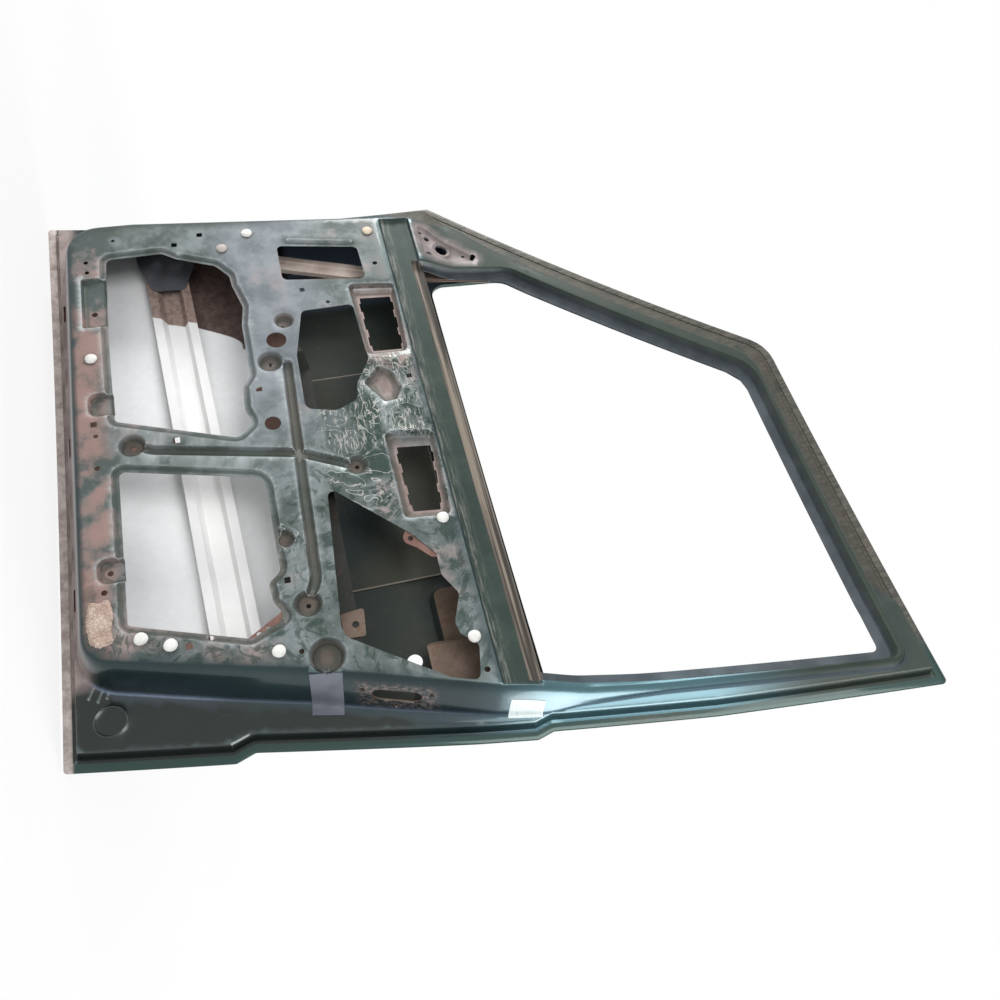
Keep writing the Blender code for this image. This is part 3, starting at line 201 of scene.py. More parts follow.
# Shut walls
HINGE_EDGE = ((83.6, 150), (129, 688))
HINGE_HEIGHTS = (205.0, 520.0)
HINGE_DOWN = 36.0
HINGE_BOLT_SPREAD = 34.0
HINGE_BOLT_HOLE = 5.5
CHECK_STRAP_HEIGHT = 365.0
CHECK_STRAP_SLOT = (22.0, 9.0)
LATCH_EDGE = ((917, 314), (995, 556))
LATCH_ALONG = 118.0
LATCH_DOWN = 40.0
LATCH_SLOT = (34.0, 12.0)
LATCH_SCREWS = [(-46, -8), (46, -8), (0, 22)]
LATCH_SCREW_HOLE = 4.0
DRAIN_SLOTS = (215, 477, 730)
DRAIN_HEIGHT = 24.0
DRAIN_SLOT = (17.0, 1.6)
LAND_RING = (909, 62, 20.0)
LAND_MARKS = [((874, 36), (855, 44)), ((880, 47), (860, 55)), ((877, 58), (858, 64))]
LAND_MARK = (3.0, 1.2)           # half width and height
LAND_RING_HEIGHT = 1.3

# Outer skin openings
SKIN_WINDOW_GROW = 20.6
SKIN_BELT_HEIGHT = 634.0
SKIN_FLANGE = 8.0
WINDOW_FOLD = 1.5
SKIN_EDGE_ROW = 6.0
SKIN_GRID = 26.0
HANDLE_CUP = [(800, 500, 24), (800, 572, 24), (930, 572, 24), (930, 500, 24)]
HANDLE_DEPTH = 14.0
HANDLE_WALL = 10.0
HANDLE_SLOTS = [[(816, 548, 4), (816, 562, 4), (846, 562, 4), (846, 548, 4)],
                [(890, 548, 4), (890, 562, 4), (912, 562, 4), (912, 548, 4)]]
LOCK_PLACE = (905, 462)
LOCK_HOLE = 11.0

# Small pieces
PLUG_PROFILE = [(0.0, 5.3), (2.2, 5.25), (4.4, 4.9), (6.4, 4.2), (7.9, 3.2), (8.8, 2.1),
                (9.0, 1.2), (8.7, 0.5), (8.0, 0.3), (2.8, 0.3), (2.8, -5.4), (3.3, -6.4),
                (2.4, -7.6), (1.2, -8.5), (0.0, -8.5)]
SEALANT_OUTLINE = [(766, 57, 4), (771, 70, 3), (765, 82, 5), (790, 87, 6), (812, 83, 4),
                   (829, 86, 5), (833, 68, 5), (826, 57, 4), (800, 53, 5)]
SEALANT_THICKNESS = 4.0
SEALANT_RAGGED = 0.7
SEALANT_SLOPE = 3.0
SEALANT_LOW = 1.2         # its lumps rise and fall about a level this far below its thickness
SEALANT_LUMPS = 0.5
SEALANT_GRID = 1.6
SEALANT_FOOT = 0.3
SEALANT_LEAST = 0.35      # its top never comes nearer to the panel than this
TAPE = [(920, 316), (929, 358), (965, 352), (956, 311)]
BARE_PLATE = [(1006, 569), (1017, 615), (1031, 611), (1021, 565)]
FILM_THICKNESS = 0.25
FILM_LIFT = 0.9           # clears the facets of the panel's fine mesh
FILM_GRID = (24, 18)

# Foot of the front glass guide, as (across, depth) of its section
GUIDE_FOOT_LINE = ((150, 366), (214, 572))
GUIDE_FOOT_SECTION = [(-16.0, 9.0), (-15.0, 1.0), (-13.0, 0.0), (-4.0, 0.0), (-3.0, 1.5),
                      (3.0, 1.5), (4.0, 0.0), (13.0, 0.0), (15.0, 1.0), (16.0, 9.0)]
GUIDE_FOOT_ROWS = 25
GUIDE_FOOT_LEVEL = 52.0
GUIDE_FOOT_THICKNESS = 1.0

# Camera of the photograph: place in millimetres and its axes along the door's
CAMERA_PLACE = (1285.0, -1080.0, 337.0)
CAMERA_RIGHT = (0.255086, -0.122770, 0.959093)
CAMERA_DOWN = (0.855413, 0.491079, -0.164650)
CAMERA_AHEAD = (-0.450776, 0.862421, 0.230286)
CAMERA_LENS = 30.6
CAMERA_SENSOR = 36.0
CAMERA_REACH = (0.02, 50.0)      # metres

# Stage, in metres: each lamp has a place, a size and a power in watts
STAGE_MIDDLE = (0.45, 0.0, 0.05)
LAMPS = {"key": ((-1.9, -1.25, 0.55), 0.8, 42.0), "front": ((0.9, -2.1, 0.5), 1.0, 20.0),
         "back": ((2.4, 1.3, 0.75), 1.6, 52.0)}
WHITE = (1.0, 1.0, 1.0)
ROOM_LIGHT = ((0.92, 0.96, 1.0), 0.55)
FLOOR_EDGE = 6.0
FLOOR_GAP = 0.0005
FLOOR_COLOUR = (0.80, 0.80, 0.79)
FLOOR_FADE = 0.85                # share of plain white that a viewer sees near the door
FLOOR_FADE_REACH = (0.9, 2.2)    # distances over which the rest turns white

# Where the finishes of the inner panel lie: start and width of each ease, by the distance
# outside the ridge, the height or the place along the door
TRIM_EDGE = (-4.0, -5.0)
TRIM_TOP = (BELT_BAND_START + 1.0, -4.0)
SILL_OUT = (-1.0, 3.0)
SILL_HEIGHT = (52.0, -18.0)
SILL_REAR = (870.0, -20.0)
FLANGE_OUT = (8.0, 6.0)
FLANGE_HEIGHT = (560.0, 60.0)
FLANGE_REAR = (1000.0, -30.0)
# Darker round each plug
PLUG_DARKENING = (14.0, -5.0)        # by the distance to the nearest plug
SAIL_SPREAD = 12.0
# Width of the painted highlight along the foot of the walls
FOOT_HIGHLIGHT_WIDTH = 1.8
SUNK_DEPTH = 8.0

# Damping sheet's middle and half sizes, and the pale border inside its edges
DAMPING_MIDDLE = (582.5, 430.0)
DAMPING_HALF = (197.5, 130.0)
DAMPING_BORDER = (3.0, 0.5)

# How strongly paint and clear coat mirror the white surroundings
PAINT_IOR = 1.33
COAT_IOR = 1.4

# Shares of a wall's width where the fine mesh has a row of points
WALL_ROWS = (0.0, 0.2, 0.4, 0.6, 0.8, 1.0)
RIDGE_ROWS = (-1, -0.5, 0, 0.5, 1)          # the same either side of the ridge or of a ring
FOOT_ROWS = (-2.4, -1.2, 0.0, 1.2, 2.4)     # millimetres either side of a wall's foot
WALL_REACH_GUESS = 15.0          # width of the shut wall before it is worked out in rounds
WALL_REACH_ROUNDS = 8
CDT_NEARNESS = 1e-3              # points nearer than this become one
LEAST_RADIUS = 0.8
ARC_SHARE = 0.48                 # most of an edge that the arc at its end may take

# Points round a circle
ROUND_SIDES = 18
BOLT_SIDES = 24
CUP_SIDES = 30
LARGE_SIDES = 32
FINE_SIDES = 40
LARGE_HOLE = 8.0


# Outlines


def smooth(t):
    """Eases from 0 to 1 with level ends: three squares less two cubes."""
    t = np.clip(t, 0.0, 1.0)
    return t * t * (3.0 - 2.0 * t)


def signed_area(line):
    """Area of a closed line, positive where it turns left: half the sum of the cross
    products of neighbouring points."""
    after = np.roll(line, -1, axis=0)
    return np.sum(line[:, 0] * after[:, 1] - after[:, 0] * line[:, 1]) / 2


def eased(value, start, width):
    """Eases from 0 at start to 1 a width beyond it, on its other side where it is negative."""
    return smooth((value - start) / width)


def turned_left(corners):
    """The corners in counter-clockwise order."""
    flat = np.array([c[:2] for c in corners], float)
    return list(corners) if signed_area(flat) > 0 else list(corners)[::-1]


def inset(corners, distance):
    """The outline moved inwards along its corners' bisectors, outwards where negative."""
    corners = turned_left(corners)
    count = len(corners)
    moved = []
    for i in range(count):
        before = np.array(corners[i - 1][:2], float)
        here = np.array(corners[i][:2], float)
        after = np.array(corners[(i + 1) % count][:2], float)
        first = (here - before) / np.linalg.norm(here - before)
        second = (after - here) / np.linalg.norm(after - here)
        turn = first[0] * second[1] - first[1] * second[0]
        normal_a = np.array([-first[1], first[0]])
        normal_b = np.array([-second[1], second[0]])
        shift = (normal_a + normal_b) * distance / (1.0 + normal_a @ normal_b)
        radius = corners[i][2]
        if radius > 0:
            radius = max(radius - distance * math.copysign(1.0, turn), LEAST_RADIUS)
        moved.append((here[0] + shift[0], here[1] + shift[1], radius))
    return moved


def rounded(corners, closed=True, step=9.0, arc=12.0):
    """Points of an outline with arcs at its corners, long edges cut into even pieces."""
    points = []
    count = len(corners)
    for i, (x, z, radius) in enumerate(corners):
        here = np.array([x, z], float)
        if radius <= 0 or (not closed and i in (0, count - 1)):
            points.append(here[None])
            continue
        before = np.array(corners[i - 1][:2], float) - here
        after = np.array(corners[(i + 1) % count][:2], float) - here
        before_length = np.linalg.norm(before)
        after_length = np.linalg.norm(after)
        before, after = before / before_length, after / after_length
        half = math.acos(np.clip(before @ after, -1.0, 1.0)) / 2
        reach = min(radius / math.tan(half), ARC_SHARE * before_length, ARC_SHARE * after_length)
        radius = reach * math.tan(half)
        middle = here + (before + after) / np.linalg.norm(before + after) * radius / math.sin(half)
        start = here + before * reach - middle
        end = here + after * reach - middle
        sweep = math.pi - 2 * half
        turn = math.copysign(1.0, start[0] * end[1] - start[1] * end[0])
        pieces = max(2, math.ceil(math.degrees(sweep) / arc))
        angle = turn * sweep * np.arange(pieces + 1) / pieces
        spun = np.stack([start[0] * np.cos(angle) - start[1] * np.sin(angle),
                         start[0] * np.sin(angle) + start[1] * np.cos(angle)], axis=1)
        points.append(middle + spun)
    points = np.concatenate(points)
    after = np.roll(points, -1, axis=0) if closed else points[1:]
    before = points if closed else points[:-1]
    pieces = np.maximum(np.ceil(np.linalg.norm(after - before, axis=1) / step), 1).astype(int)
    share = np.concatenate([np.arange(n) / n for n in pieces])
    spaced = np.repeat(before, pieces, axis=0)
    spaced = spaced + (np.repeat(after, pieces, axis=0) - spaced) * share[:, None]
    return spaced if closed else np.concatenate([spaced, points[-1:]])


def circle(x, z, radius, count=ROUND_SIDES):
    """Points round a circle."""
    turns = 2 * math.pi * (np.arange(count) + 0.5) / count
    return np.stack([x + radius * np.cos(turns), z + radius * np.sin(turns)], axis=1)


def square(x, z, side):
    """Points of an upright square with small corner radii."""
    h = side / 2
    return rounded([(x + i * h, z + j * h, LEAST_RADIUS)
                    for i, j in ((-1, -1), (1, -1), (1, 1), (-1, 1))], step=3.0, arc=45.0)


def oblong(half_length, half_width, count=12):
    """Points of a slot with round ends, about its own middle."""
    run = half_length - half_width
    a = np.linspace(-math.pi / 2, math.pi / 2, count)
    right = np.stack([run + half_width * np.cos(a), half_width * np.sin(a)], axis=1)
    return np.concatenate([right, -right])


def notched(corners, notches, depth):
    """A four-cornered opening whose two long edges step outwards along some of their length."""
    made = []
    middle = np.mean(corners, axis=0)
    for i in range(4):
        a, b = np.array(corners[i], float), np.array(corners[(i + 1) % 4], float)
        made.append((a[0], a[1], 2.0))
        if i % 2 == 0:
            continue
        run = b - a
        out = np.array([run[1], -run[0]]) / np.linalg.norm(run)
        out *= math.copysign(1.0, out @ (a - middle))
        for low, high in notches:
            for share, reach in ((low, 0.0), (low, depth), (high, depth), (high, 0.0)):
                spot = a + run * share + out * reach
                made.append((spot[0], spot[1], 0.6))
    return made


def stroke(path, half, ends=10):
    """Outline of a band with round ends about a path."""
    ahead = np.gradient(path, axis=0)
    ahead /= np.linalg.norm(ahead, axis=1)[:, None]
    side = np.stack([-ahead[:, 1], ahead[:, 0]], axis=1) * half
    a = np.linspace(0.0, math.pi, ends)[1:-1, None]
    far = path[-1] + side[-1] * np.cos(a) + ahead[-1] * half * np.sin(a)
    near = path[0] - side[0] * np.cos(a) - ahead[0] * half * np.sin(a)
    return np.concatenate([path + side, far, (path - side)[::-1], near])


def path_distance(path, points, closed=False):
    """Distance from each point to the nearest straight piece of a path."""
    nearest = np.full(len(points), 1e9)
    ends = np.roll(path, -1, axis=0) if closed else path[1:]
    for a, b in zip(path, ends):
        run = b - a
        along = np.clip(((points - a) @ run) / max(run @ run, 1e-12), 0.0, 1.0)
        gap = points - a - along[:, None] * run
        nearest = np.minimum(nearest, np.einsum("ij,ij->i", gap, gap))
    return np.sqrt(nearest)


def inside(outline, points):
    """Which points lie inside a closed outline, by counting the edges to their right."""
    found = np.zeros(len(points), bool)
    for a, b in zip(outline, np.roll(outline, -1, axis=0)):
        spans = (a[1] > points[:, 1]) != (b[1] > points[:, 1])
        rise = b[1] - a[1] if abs(b[1] - a[1]) > 1e-12 else 1e-12
        crossing = a[0] + (points[:, 1] - a[1]) * (b[0] - a[0]) / rise
        found ^= spans & (points[:, 0] < crossing)
    return found


def signed_distance(outline, points, reach=None):
    """Distance to a closed outline, negative inside it; beyond reach of its box only large."""
    if reach is None:
        gap = path_distance(outline, points, closed=True)
        return np.where(inside(outline, points), -gap, gap)
    near = np.all((points > outline.min(0) - reach) & (points < outline.max(0) + reach), axis=1)
    found = np.full(len(points), float(reach))
    found[near] = signed_distance(outline, points[near])
    return found


def sink(distance, wall):
    """0 at an outline and 1 from a wall's width inside it, eased at both ends."""
    return smooth(-distance / wall)


DOOR_LINE = rounded(DOOR_OUTLINE)
RIDGE_LINE = rounded(RIDGE_OUTLINE)
REBATE_LINE = rounded(REBATE_OUTLINE)
WINDOW_LINE = rounded(WINDOW_OPENING)
GROOVE_PATHS = [rounded(path, closed=False, step=6.0, arc=8.0) for path, _, _ in GROOVES]


# Levels


def skin_y(x, z):
    """Outboard face of the skin: a crown that falls off with the squares of x and z."""
    return (SKIN_CROWN - (z - SKIN_CROWN_HEIGHT) ** 2 / (2 * SKIN_RADIUS_UP)
            - (x - SKIN_CROWN_STATION) ** 2 / (2 * SKIN_RADIUS_ALONG))


def frame_y(x, z):
    """Inboard face of the window frame's ridge, which thins above the belt."""
    thinning = (FRAME_DEPTH_BELT - FRAME_DEPTH) * eased(z, *FRAME_THINNING)
    return skin_y(x, z) - FRAME_DEPTH_BELT + thinning


def face_y(x, z):
    """Inboard face of the trim flat, easing into the ridge of the window frame."""
    return frame_y(x, z) * eased(z, *FRAME_RISE)


def land_y(x, z):
    """Seal land round the ridge: deep below the belt and at the rear, shallow elsewhere."""
    upper = eased(z, *UPPER_LAND) * eased(x, *REAR_LAND)
    return skin_y(x, z) - LAND_DEPTH + (LAND_DEPTH - UPPER_LAND_DEPTH) * upper


def ring_bead(points, x, z, radius, height):
    """Height of a round bead, eased off on both sides of its ring."""
    gap = np.abs(np.linalg.norm(points - np.array([x, z]), axis=1) - radius)
    return height * smooth(1.0 - gap / RING_HALF)


def form_depth(points):
    """Depth of the pressed forms below the trim flat and the frame ridge: the deepest of
    them at each point, less the height of the beads."""
    depth = REBATE_DEPTH * sink(signed_distance(REBATE_LINE, points), REBATE_WALL)
    shapes = [(rounded(BELT_BAND), BELT_BAND_DEPTH, FORM_WALL),
              (rounded(SAIL), SAIL_DEPTH, FORM_WALL)]
    shapes += [(rounded(corners), deep, wall) for corners, deep, wall in PATCHES]
    shapes += [(rounded(inset(OPENINGS[name], -RIM_WIDTH)), RIM_DEPTH, FORM_WALL)
               for name in RIMMED]
    for outline, deep, wall in shapes:
        depth = np.maximum(depth, deep * sink(signed_distance(outline, points, 20.0), wall))
    for path, (_, half, deep) in zip(GROOVE_PATHS, GROOVES):
        depth = np.maximum(depth, deep * sink(path_distance(path, points) - half, GROOVE_WALL))
    for x, z, radius, deep in CUPS:
        gap = np.linalg.norm(points - np.array([x, z]), axis=1)
        depth = np.maximum(depth, deep * sink(gap - radius, CUP_WALL))
    for start, end, half, height in BEADS:
        away = path_distance(np.array([start, end], float), points)
        depth = depth - height * sink(away - half, half * BEAD_WALL)
    return depth - ring_bead(points, *SAIL_RING, SAIL_RING_HEIGHT)


def wall_rise(distance, fillet):
    """Rise of a shut wall outside the ridge: a parabola over the fillet, then a slope."""
    knee = np.clip(distance, -fillet, fillet)
    rounding = WALL_SLOPE * (knee + fillet) ** 2 / (4 * fillet)
    return rounding + WALL_SLOPE * np.maximum(distance - fillet, 0.0)


def lesser(a, b, blend):
    """The smaller of two levels, with a parabola of the blend's width where they meet."""
    near = np.maximum(blend - np.abs(a - b), 0.0) / blend
    return np.minimum(a, b) - near * near * blend / 4


def panel_y(points, fillet, foot):
    """Inboard face of the inner panel: the lesser of the outer flange, which steps from the
    hem to the seal land, and the trim flat or ridge with the wall that falls from it."""
    x, z = points.T
    from_edge = -signed_distance(DOOR_LINE, points)
    land = land_y(x, z)
    hem = skin_y(x, z) - HEM_GAP
    outer = hem + (land - hem) * eased(from_edge, HEM_FLANGE, HEM_STEP)
    outer -= ring_bead(points, *LAND_RING, LAND_RING_HEIGHT)
    half, height = LAND_MARK
    for ends in LAND_MARKS:
        outer -= height * smooth(1.0 - path_distance(np.array(ends, float), points) / half)
    outside = signed_distance(RIDGE_LINE, points)
    forms = np.where(outside < 0, form_depth(points), 0.0)
    return lesser(outer, face_y(x, z) + forms + wall_rise(outside, fillet), foot)


def skin_level(points):
    """Outboard face of the skin with its handle cup."""
    cup = HANDLE_DEPTH * sink(signed_distance(rounded(HANDLE_CUP), points, 20.0), HANDLE_WALL)
    return skin_y(*points.T) - cup


# Places on the shut walls


def wall_frame(edge, along, down):
    """Matrix of a place on a shut wall: u along the edge, v down the wall, w out of it."""
    a, b = np.array(edge[0], float), np.array(edge[1], float)
    run = (b - a) / np.linalg.norm(b - a)
    out = np.array([run[1], -run[0]])
    if out @ (a - np.mean(RIDGE_LINE, axis=0)) < 0:
        out = -out
    u = Vector((run[0], 0, run[1]))
    v = Vector((out[0], WALL_SLOPE, out[1])).normalized()
    w = u.cross(v)
    if w.y > 0:
        w = -w
    start = Vector((a[0], 0, a[1])) + u * along + v * down
    return Matrix.Translation(start) @ Matrix((u, v, w)).transposed().to_4x4()


def on_wall(edge, along, down, shape):
    """Outline drawn on a shut wall in (along, down), as (x, z) points."""
    turn = np.array(wall_frame(edge, along, down))
    return shape @ turn[[0, 2], :2].T + turn[[0, 2], 3]


def hinge_along(height):
    """Distance along the hinge edge to a height above the sill."""
    (x0, z0), (x1, z1) = HINGE_EDGE
    return (height - z0) * math.hypot(x1 - x0, z1 - z0) / (z1 - z0)


def panel_holes():
    """Every hole of the inner panel, as (x, z) points."""
    holes = [rounded(corners, step=6.0) for corners in OPENINGS.values()]
    holes += [rounded(notched(slot, SLOT_NOTCHES, NOTCH_DEPTH), step=6.0, arc=45.0)
              for slot in SLOTS]
    holes.append(WINDOW_LINE)
    holes += [circle(x, z, radius, LARGE_SIDES if radius > LARGE_HOLE else ROUND_SIDES)
              for x, z, radius in ROUND_HOLES + SAIL_HOLES]
    holes += [square(*hole) for hole in SQUARE_HOLES]
    holes += [circle(x, z, PLUG_HOLE) for x, z in PLUG_PLACES]
    for height in HINGE_HEIGHTS:
        for side in (-0.5, 0.5):
            bolt = circle(side * HINGE_BOLT_SPREAD, 0.0, HINGE_BOLT_HOLE, BOLT_SIDES)
            holes.append(on_wall(HINGE_EDGE, hinge_along(height), HINGE_DOWN, bolt))
    strap = oblong(*CHECK_STRAP_SLOT)
    holes.append(on_wall(HINGE_EDGE, hinge_along(CHECK_STRAP_HEIGHT), HINGE_DOWN, strap))
    holes.append(on_wall(LATCH_EDGE, LATCH_ALONG, LATCH_DOWN, oblong(*LATCH_SLOT)))
    for along, down in LATCH_SCREWS:
        screw = circle(0.0, 0.0, LATCH_SCREW_HOLE)
        holes.append(on_wall(LATCH_EDGE, LATCH_ALONG + along, LATCH_DOWN + down, screw))
    holes += [oblong(*DRAIN_SLOT, 6) + np.array([x, DRAIN_HEIGHT]) for x in DRAIN_SLOTS]
    return holes


# Sheets


def cut_sheet(outline, holes, rings, loose):
    """Triangles of a flat outline with holes, split along rings and at loose points."""
    points, edges, regions = [], [], []
    start = 0
    for k, (ring, closed) in enumerate([(r, True) for r in [outline] + list(holes)] + rings):
        numbers = list(range(start, start + len(ring)))
        start += len(ring)
        points.append(ring)
        if k <= len(holes):
            regions.append(numbers if signed_area(ring) > 0 else numbers[::-1])
        else:
            edges.extend(zip(numbers, numbers[1:] + numbers[:1] if closed else numbers[1:]))
    points.append(loose)
    flat = [Vector(p) for p in np.concatenate(points).tolist()]
    made, _, triangles, _, _, origins = delaunay_2d_cdt(flat, edges, regions, 0, CDT_NEARNESS)
    flat = np.array([tuple(p) for p in made])
    triangles = np.array([triangles[k] for k, held in enumerate(origins) if list(held) == [0]])
    a, b, c = (flat[triangles[:, k]] for k in range(3))
    area = (b[:, 0] - a[:, 0]) * (c[:, 1] - a[:, 1]) - (b[:, 1] - a[:, 1]) * (c[:, 0] - a[:, 0])
    triangles[area < 0] = triangles[area < 0][:, ::-1]
    used = np.unique(triangles)
    renumber = np.zeros(len(flat), int)
    renumber[used] = np.arange(len(used))
    return flat[used], renumber[triangles]


def vertex_normals(vertices, triangles):
    """Unit normals: at each vertex the sum of its triangles' areas as vectors."""
    a, b, c = (vertices[triangles[:, k]] for k in range(3))
    areas = np.cross(b - a, c - a)
    summed = np.zeros_like(vertices)
    for k in range(3):
        np.add.at(summed, triangles[:, k], areas)
    return summed / np.maximum(np.linalg.norm(summed, axis=1), 1e-12)[:, None]


def all_edges(triangles):
    """The three edges of each triangle, in its direction."""
    return np.concatenate([triangles[:, [0, 1]], triangles[:, [1, 2]], triangles[:, [2, 0]]])


def at_level(flat, level):
    """Points of a flat sheet pushed out to their levels."""
    return np.stack([flat[:, 0], np.broadcast_to(level, len(flat)), flat[:, 1]], axis=1)


def closed_sheet(near, far, triangles):
    """Vertices and triangles of both faces of a sheet, with two triangles between the faces
    at each edge that only one triangle has."""
    edges = all_edges(triangles)
    _, first, uses = np.unique(np.sort(edges, axis=1), axis=0, return_index=True,
                               return_counts=True)
    a, b = edges[first[uses == 1]].T
    count = len(near)
    sides = np.concatenate([np.stack([b, a, a + count], axis=1),
                            np.stack([b, a + count, b + count], axis=1)])
    return (np.concatenate([near, far]),
            np.concatenate([triangles, triangles[:, ::-1] + count, sides]))


def thicken(vertices, triangles, thickness):
    """A sheet closed with a far face that lies along the normals."""
    far = vertices - vertex_normals(vertices, triangles) * thickness
    return closed_sheet(vertices, far, triangles)


def far_side(faces, triangles):
    """Material numbers of a closed sheet: 1 on the far face and 0 elsewhere."""
    numbers = np.zeros(len(faces), int)
    numbers[len(triangles):2 * len(triangles)] = 1
    return numbers


def roundness(vertices, triangles):
    """How sharply the surface turns at each vertex: the mean, over its edges, of the drop
    below the tangent plane divided by the edge's squared length. Ridges are positive."""
    normals = vertex_normals(vertices, triangles)
    edges = all_edges(triangles)
    edges = np.concatenate([edges, edges[:, ::-1]])
    run = vertices[edges[:, 1]] - vertices[edges[:, 0]]
    length = np.maximum(np.einsum("ij,ij->i", run, run), 1e-9)
    drop = -np.einsum("ij,ij->i", run, normals[edges[:, 0]]) / length
    total, share = np.zeros(len(vertices)), np.zeros(len(vertices))
    np.add.at(total, edges[:, 0], drop)
    np.add.at(share, edges[:, 0], 1.0)
    return total / np.maximum(share, 1.0)


def linked(name, data):
    """A new object in the scene."""
    made = bpy.data.objects.new(name, data)
    bpy.context.scene.collection.objects.link(made)
    return made


def sheet_object(name, vertices, faces, finishes, slots=None, marks=None, sharp=40.0):
    """Mesh object from vertices in millimetres, faces of one count of corners, a material
    number for each face, and named values for each vertex."""
    mesh = bpy.data.meshes.new(name)
    metres = (np.asarray(vertices, float) - np.array(HINGE_CENTRE)) * MM
    faces = np.asarray(faces, np.int32)
    mesh.vertices.add(len(metres))
    mesh.vertices.foreach_set("co", metres.ravel())
    mesh.loops.add(faces.size)
    mesh.loops.foreach_set("vertex_index", faces.ravel())
    mesh.polygons.add(len(faces))
    mesh.polygons.foreach_set("loop_start", np.arange(0, faces.size, faces.shape[1]))
    for finish in finishes:
        mesh.materials.append(finish)
    if slots is not None:
        mesh.polygons.foreach_set("material_index", np.asarray(slots, np.int32))
    mesh.update(calc_edges=True)
    for title, values in (marks or {}).items():
        made = mesh.attributes.new(title, "FLOAT", "POINT")
        made.data.foreach_set("value", np.asarray(values, np.float32))
    mesh.validate()
    mesh.shade_smooth()
    mesh.set_sharp_from_angle(angle=math.radians(sharp))
    return linked(name, mesh)


def grid_faces(rows, columns, wrap=False):
    """Quads of a grid of points numbered row by row, whose rows may close on themselves."""
    number = np.arange(rows * columns).reshape(rows, columns)
    if wrap:
        number = np.concatenate([number, number[:, :1]], axis=1)
    return np.stack([number[:-1, :-1], number[:-1, 1:], number[1:, 1:], number[1:, :-1]],
                    axis=-1).reshape(-1, 4)


def halved(quads):
    """Two triangles for each quad."""
    return np.concatenate([quads[:, [0, 1, 2]], quads[:, [0, 2, 3]]])


# Shader maths


class Wire:
    """A socket of a material's tree. Sums and products of wires add Math nodes."""

    def __init__(self, tree, socket=None):
        self.tree = tree
        self.socket = socket

    def node(self, kind, settings=None, sockets=None, out=0):
        """Any node, from its type, its settings and the values or links of its sockets. A
        colour is given as red, green and blue."""
        made = self.tree.nodes.new(kind)
        for name, value in (settings or {}).items():
            setattr(made, name, value)
        for name, value in (sockets or {}).items():
            if isinstance(value, Wire):
                self.tree.links.new(value.socket, made.inputs[name])
            else:
                colour = made.inputs[name].type == "RGBA"
                made.inputs[name].default_value = (*value, 1.0) if colour else value
        return Wire(self.tree, None if out is None else made.outputs[out])

    def maths(self, operation, *values):
        """A Math node on some values."""
        return self.node("ShaderNodeMath", {"operation": operation}, dict(enumerate(values)))

    def __add__(self, other):
        return self.maths("ADD", self, other)

    def __sub__(self, other):
        return self.maths("SUBTRACT", self, other)

    def __rsub__(self, other):
        return self.maths("SUBTRACT", other, self)

    def __mul__(self, other):
        return self.maths("MULTIPLY", self, other)

    __radd__ = __add__
    __rmul__ = __mul__


def maximum(one, *others):
    """The greatest of some values."""
    for other in others:
        one = one.maths("MAXIMUM", one, other)
    return one


def absolute(value):
    """The value without its sign."""
    return value.maths("ABSOLUTE", value)


def ramp(value, low, high):
    """0 below low and 1 above high, eased between; falls where low is the greater."""
    return value.node("ShaderNodeMapRange", {"interpolation_type": "SMOOTHSTEP"},
                      {"Value": value, "From Min": low, "From Max": high})


def within(value, low, high, soft):
    """1 between two values, eased off outside them."""
    return ramp(value, low - soft, low) * ramp(value, high + soft, high)


def tint(mask, under, over):
    """The colour under where the mask is 0 and over where it is 1."""
    return mask.node("ShaderNodeMix", {"data_type": "RGBA"}, {0: mask, 6: under, 7: over}, out=2)


def two_tone(value, low, high, under, over):
    """One colour where a value is below low and another where it is above high."""
    return tint(ramp(value, low, high), under, over)


def layered(colour, *layers):
    """The colour with others laid over it in turn, each through its mask."""
    for mask, over in layers:
        colour = tint(mask, colour, over)
    return colour


def noise(where, scale, detail=3.0, roughness=0.5, distortion=0.0):
    """Fractal noise from 0 to 1 about a half."""
    return where.node("ShaderNodeTexNoise", None,
                      {"Vector": where, "Scale": scale, "Detail": detail,
                       "Roughness": roughness, "Distortion": distortion})


def stretched(where, scale, turn=(0.0, 0.0, 0.0)):
    """The place turned and scaled, so that a pattern on it is drawn out."""
    return where.node("ShaderNodeMapping", None,
                      {"Vector": where, "Rotation": turn, "Scale": scale})


def marks_of(where, *names):
    """Values stored at the piece's own vertices."""
    return [where.node("ShaderNodeAttribute", {"attribute_name": name}, None, "Fac")
            for name in names]


def place(wire):
    """Object coordinates."""
    return wire.node("ShaderNodeTexCoord", None, None, "Object")


def door_place(where):
    """The door's own x and z in millimetres."""
    split = where.node("ShaderNodeSeparateXYZ", None, {"Vector": where}).socket.node.outputs
    return [Wire(where.tree, split[k]) * (1.0 / MM) + HINGE_CENTRE[k] for k in (0, 2)]


def bump(height, strength, depth):
    """Normal from a height, in metres of depth."""
    return height.node("ShaderNodeBump", None,
                       {"Height": height, "Strength": strength, "Distance": depth})


def blank_tree(owner):
    """The emptied node tree of a material or a world, as a wire."""
    owner.use_nodes = True
    owner.node_tree.nodes.clear()
    return Wire(owner.node_tree)


def material(name, paint):
    """Material whose tree is laid by a function that returns the shader's sockets."""
    made = bpy.data.materials.new(name)
    where = place(blank_tree(made))
    sockets = {"IOR": PAINT_IOR, "Coat IOR": COAT_IOR, **paint(where)}
    shader = where.node("ShaderNodeBsdfPrincipled", None, sockets)
    shader.node("ShaderNodeOutputMaterial", None, {"Surface": shader}, None)
    return made


# Finishes. Places and widths in them are millimetres on the door.


PANEL_MARKS = ("flat", "band", "lip", "sail", "sill", "flange", "edge", "sunk", "groove", "foot",
               "plug", "cup")


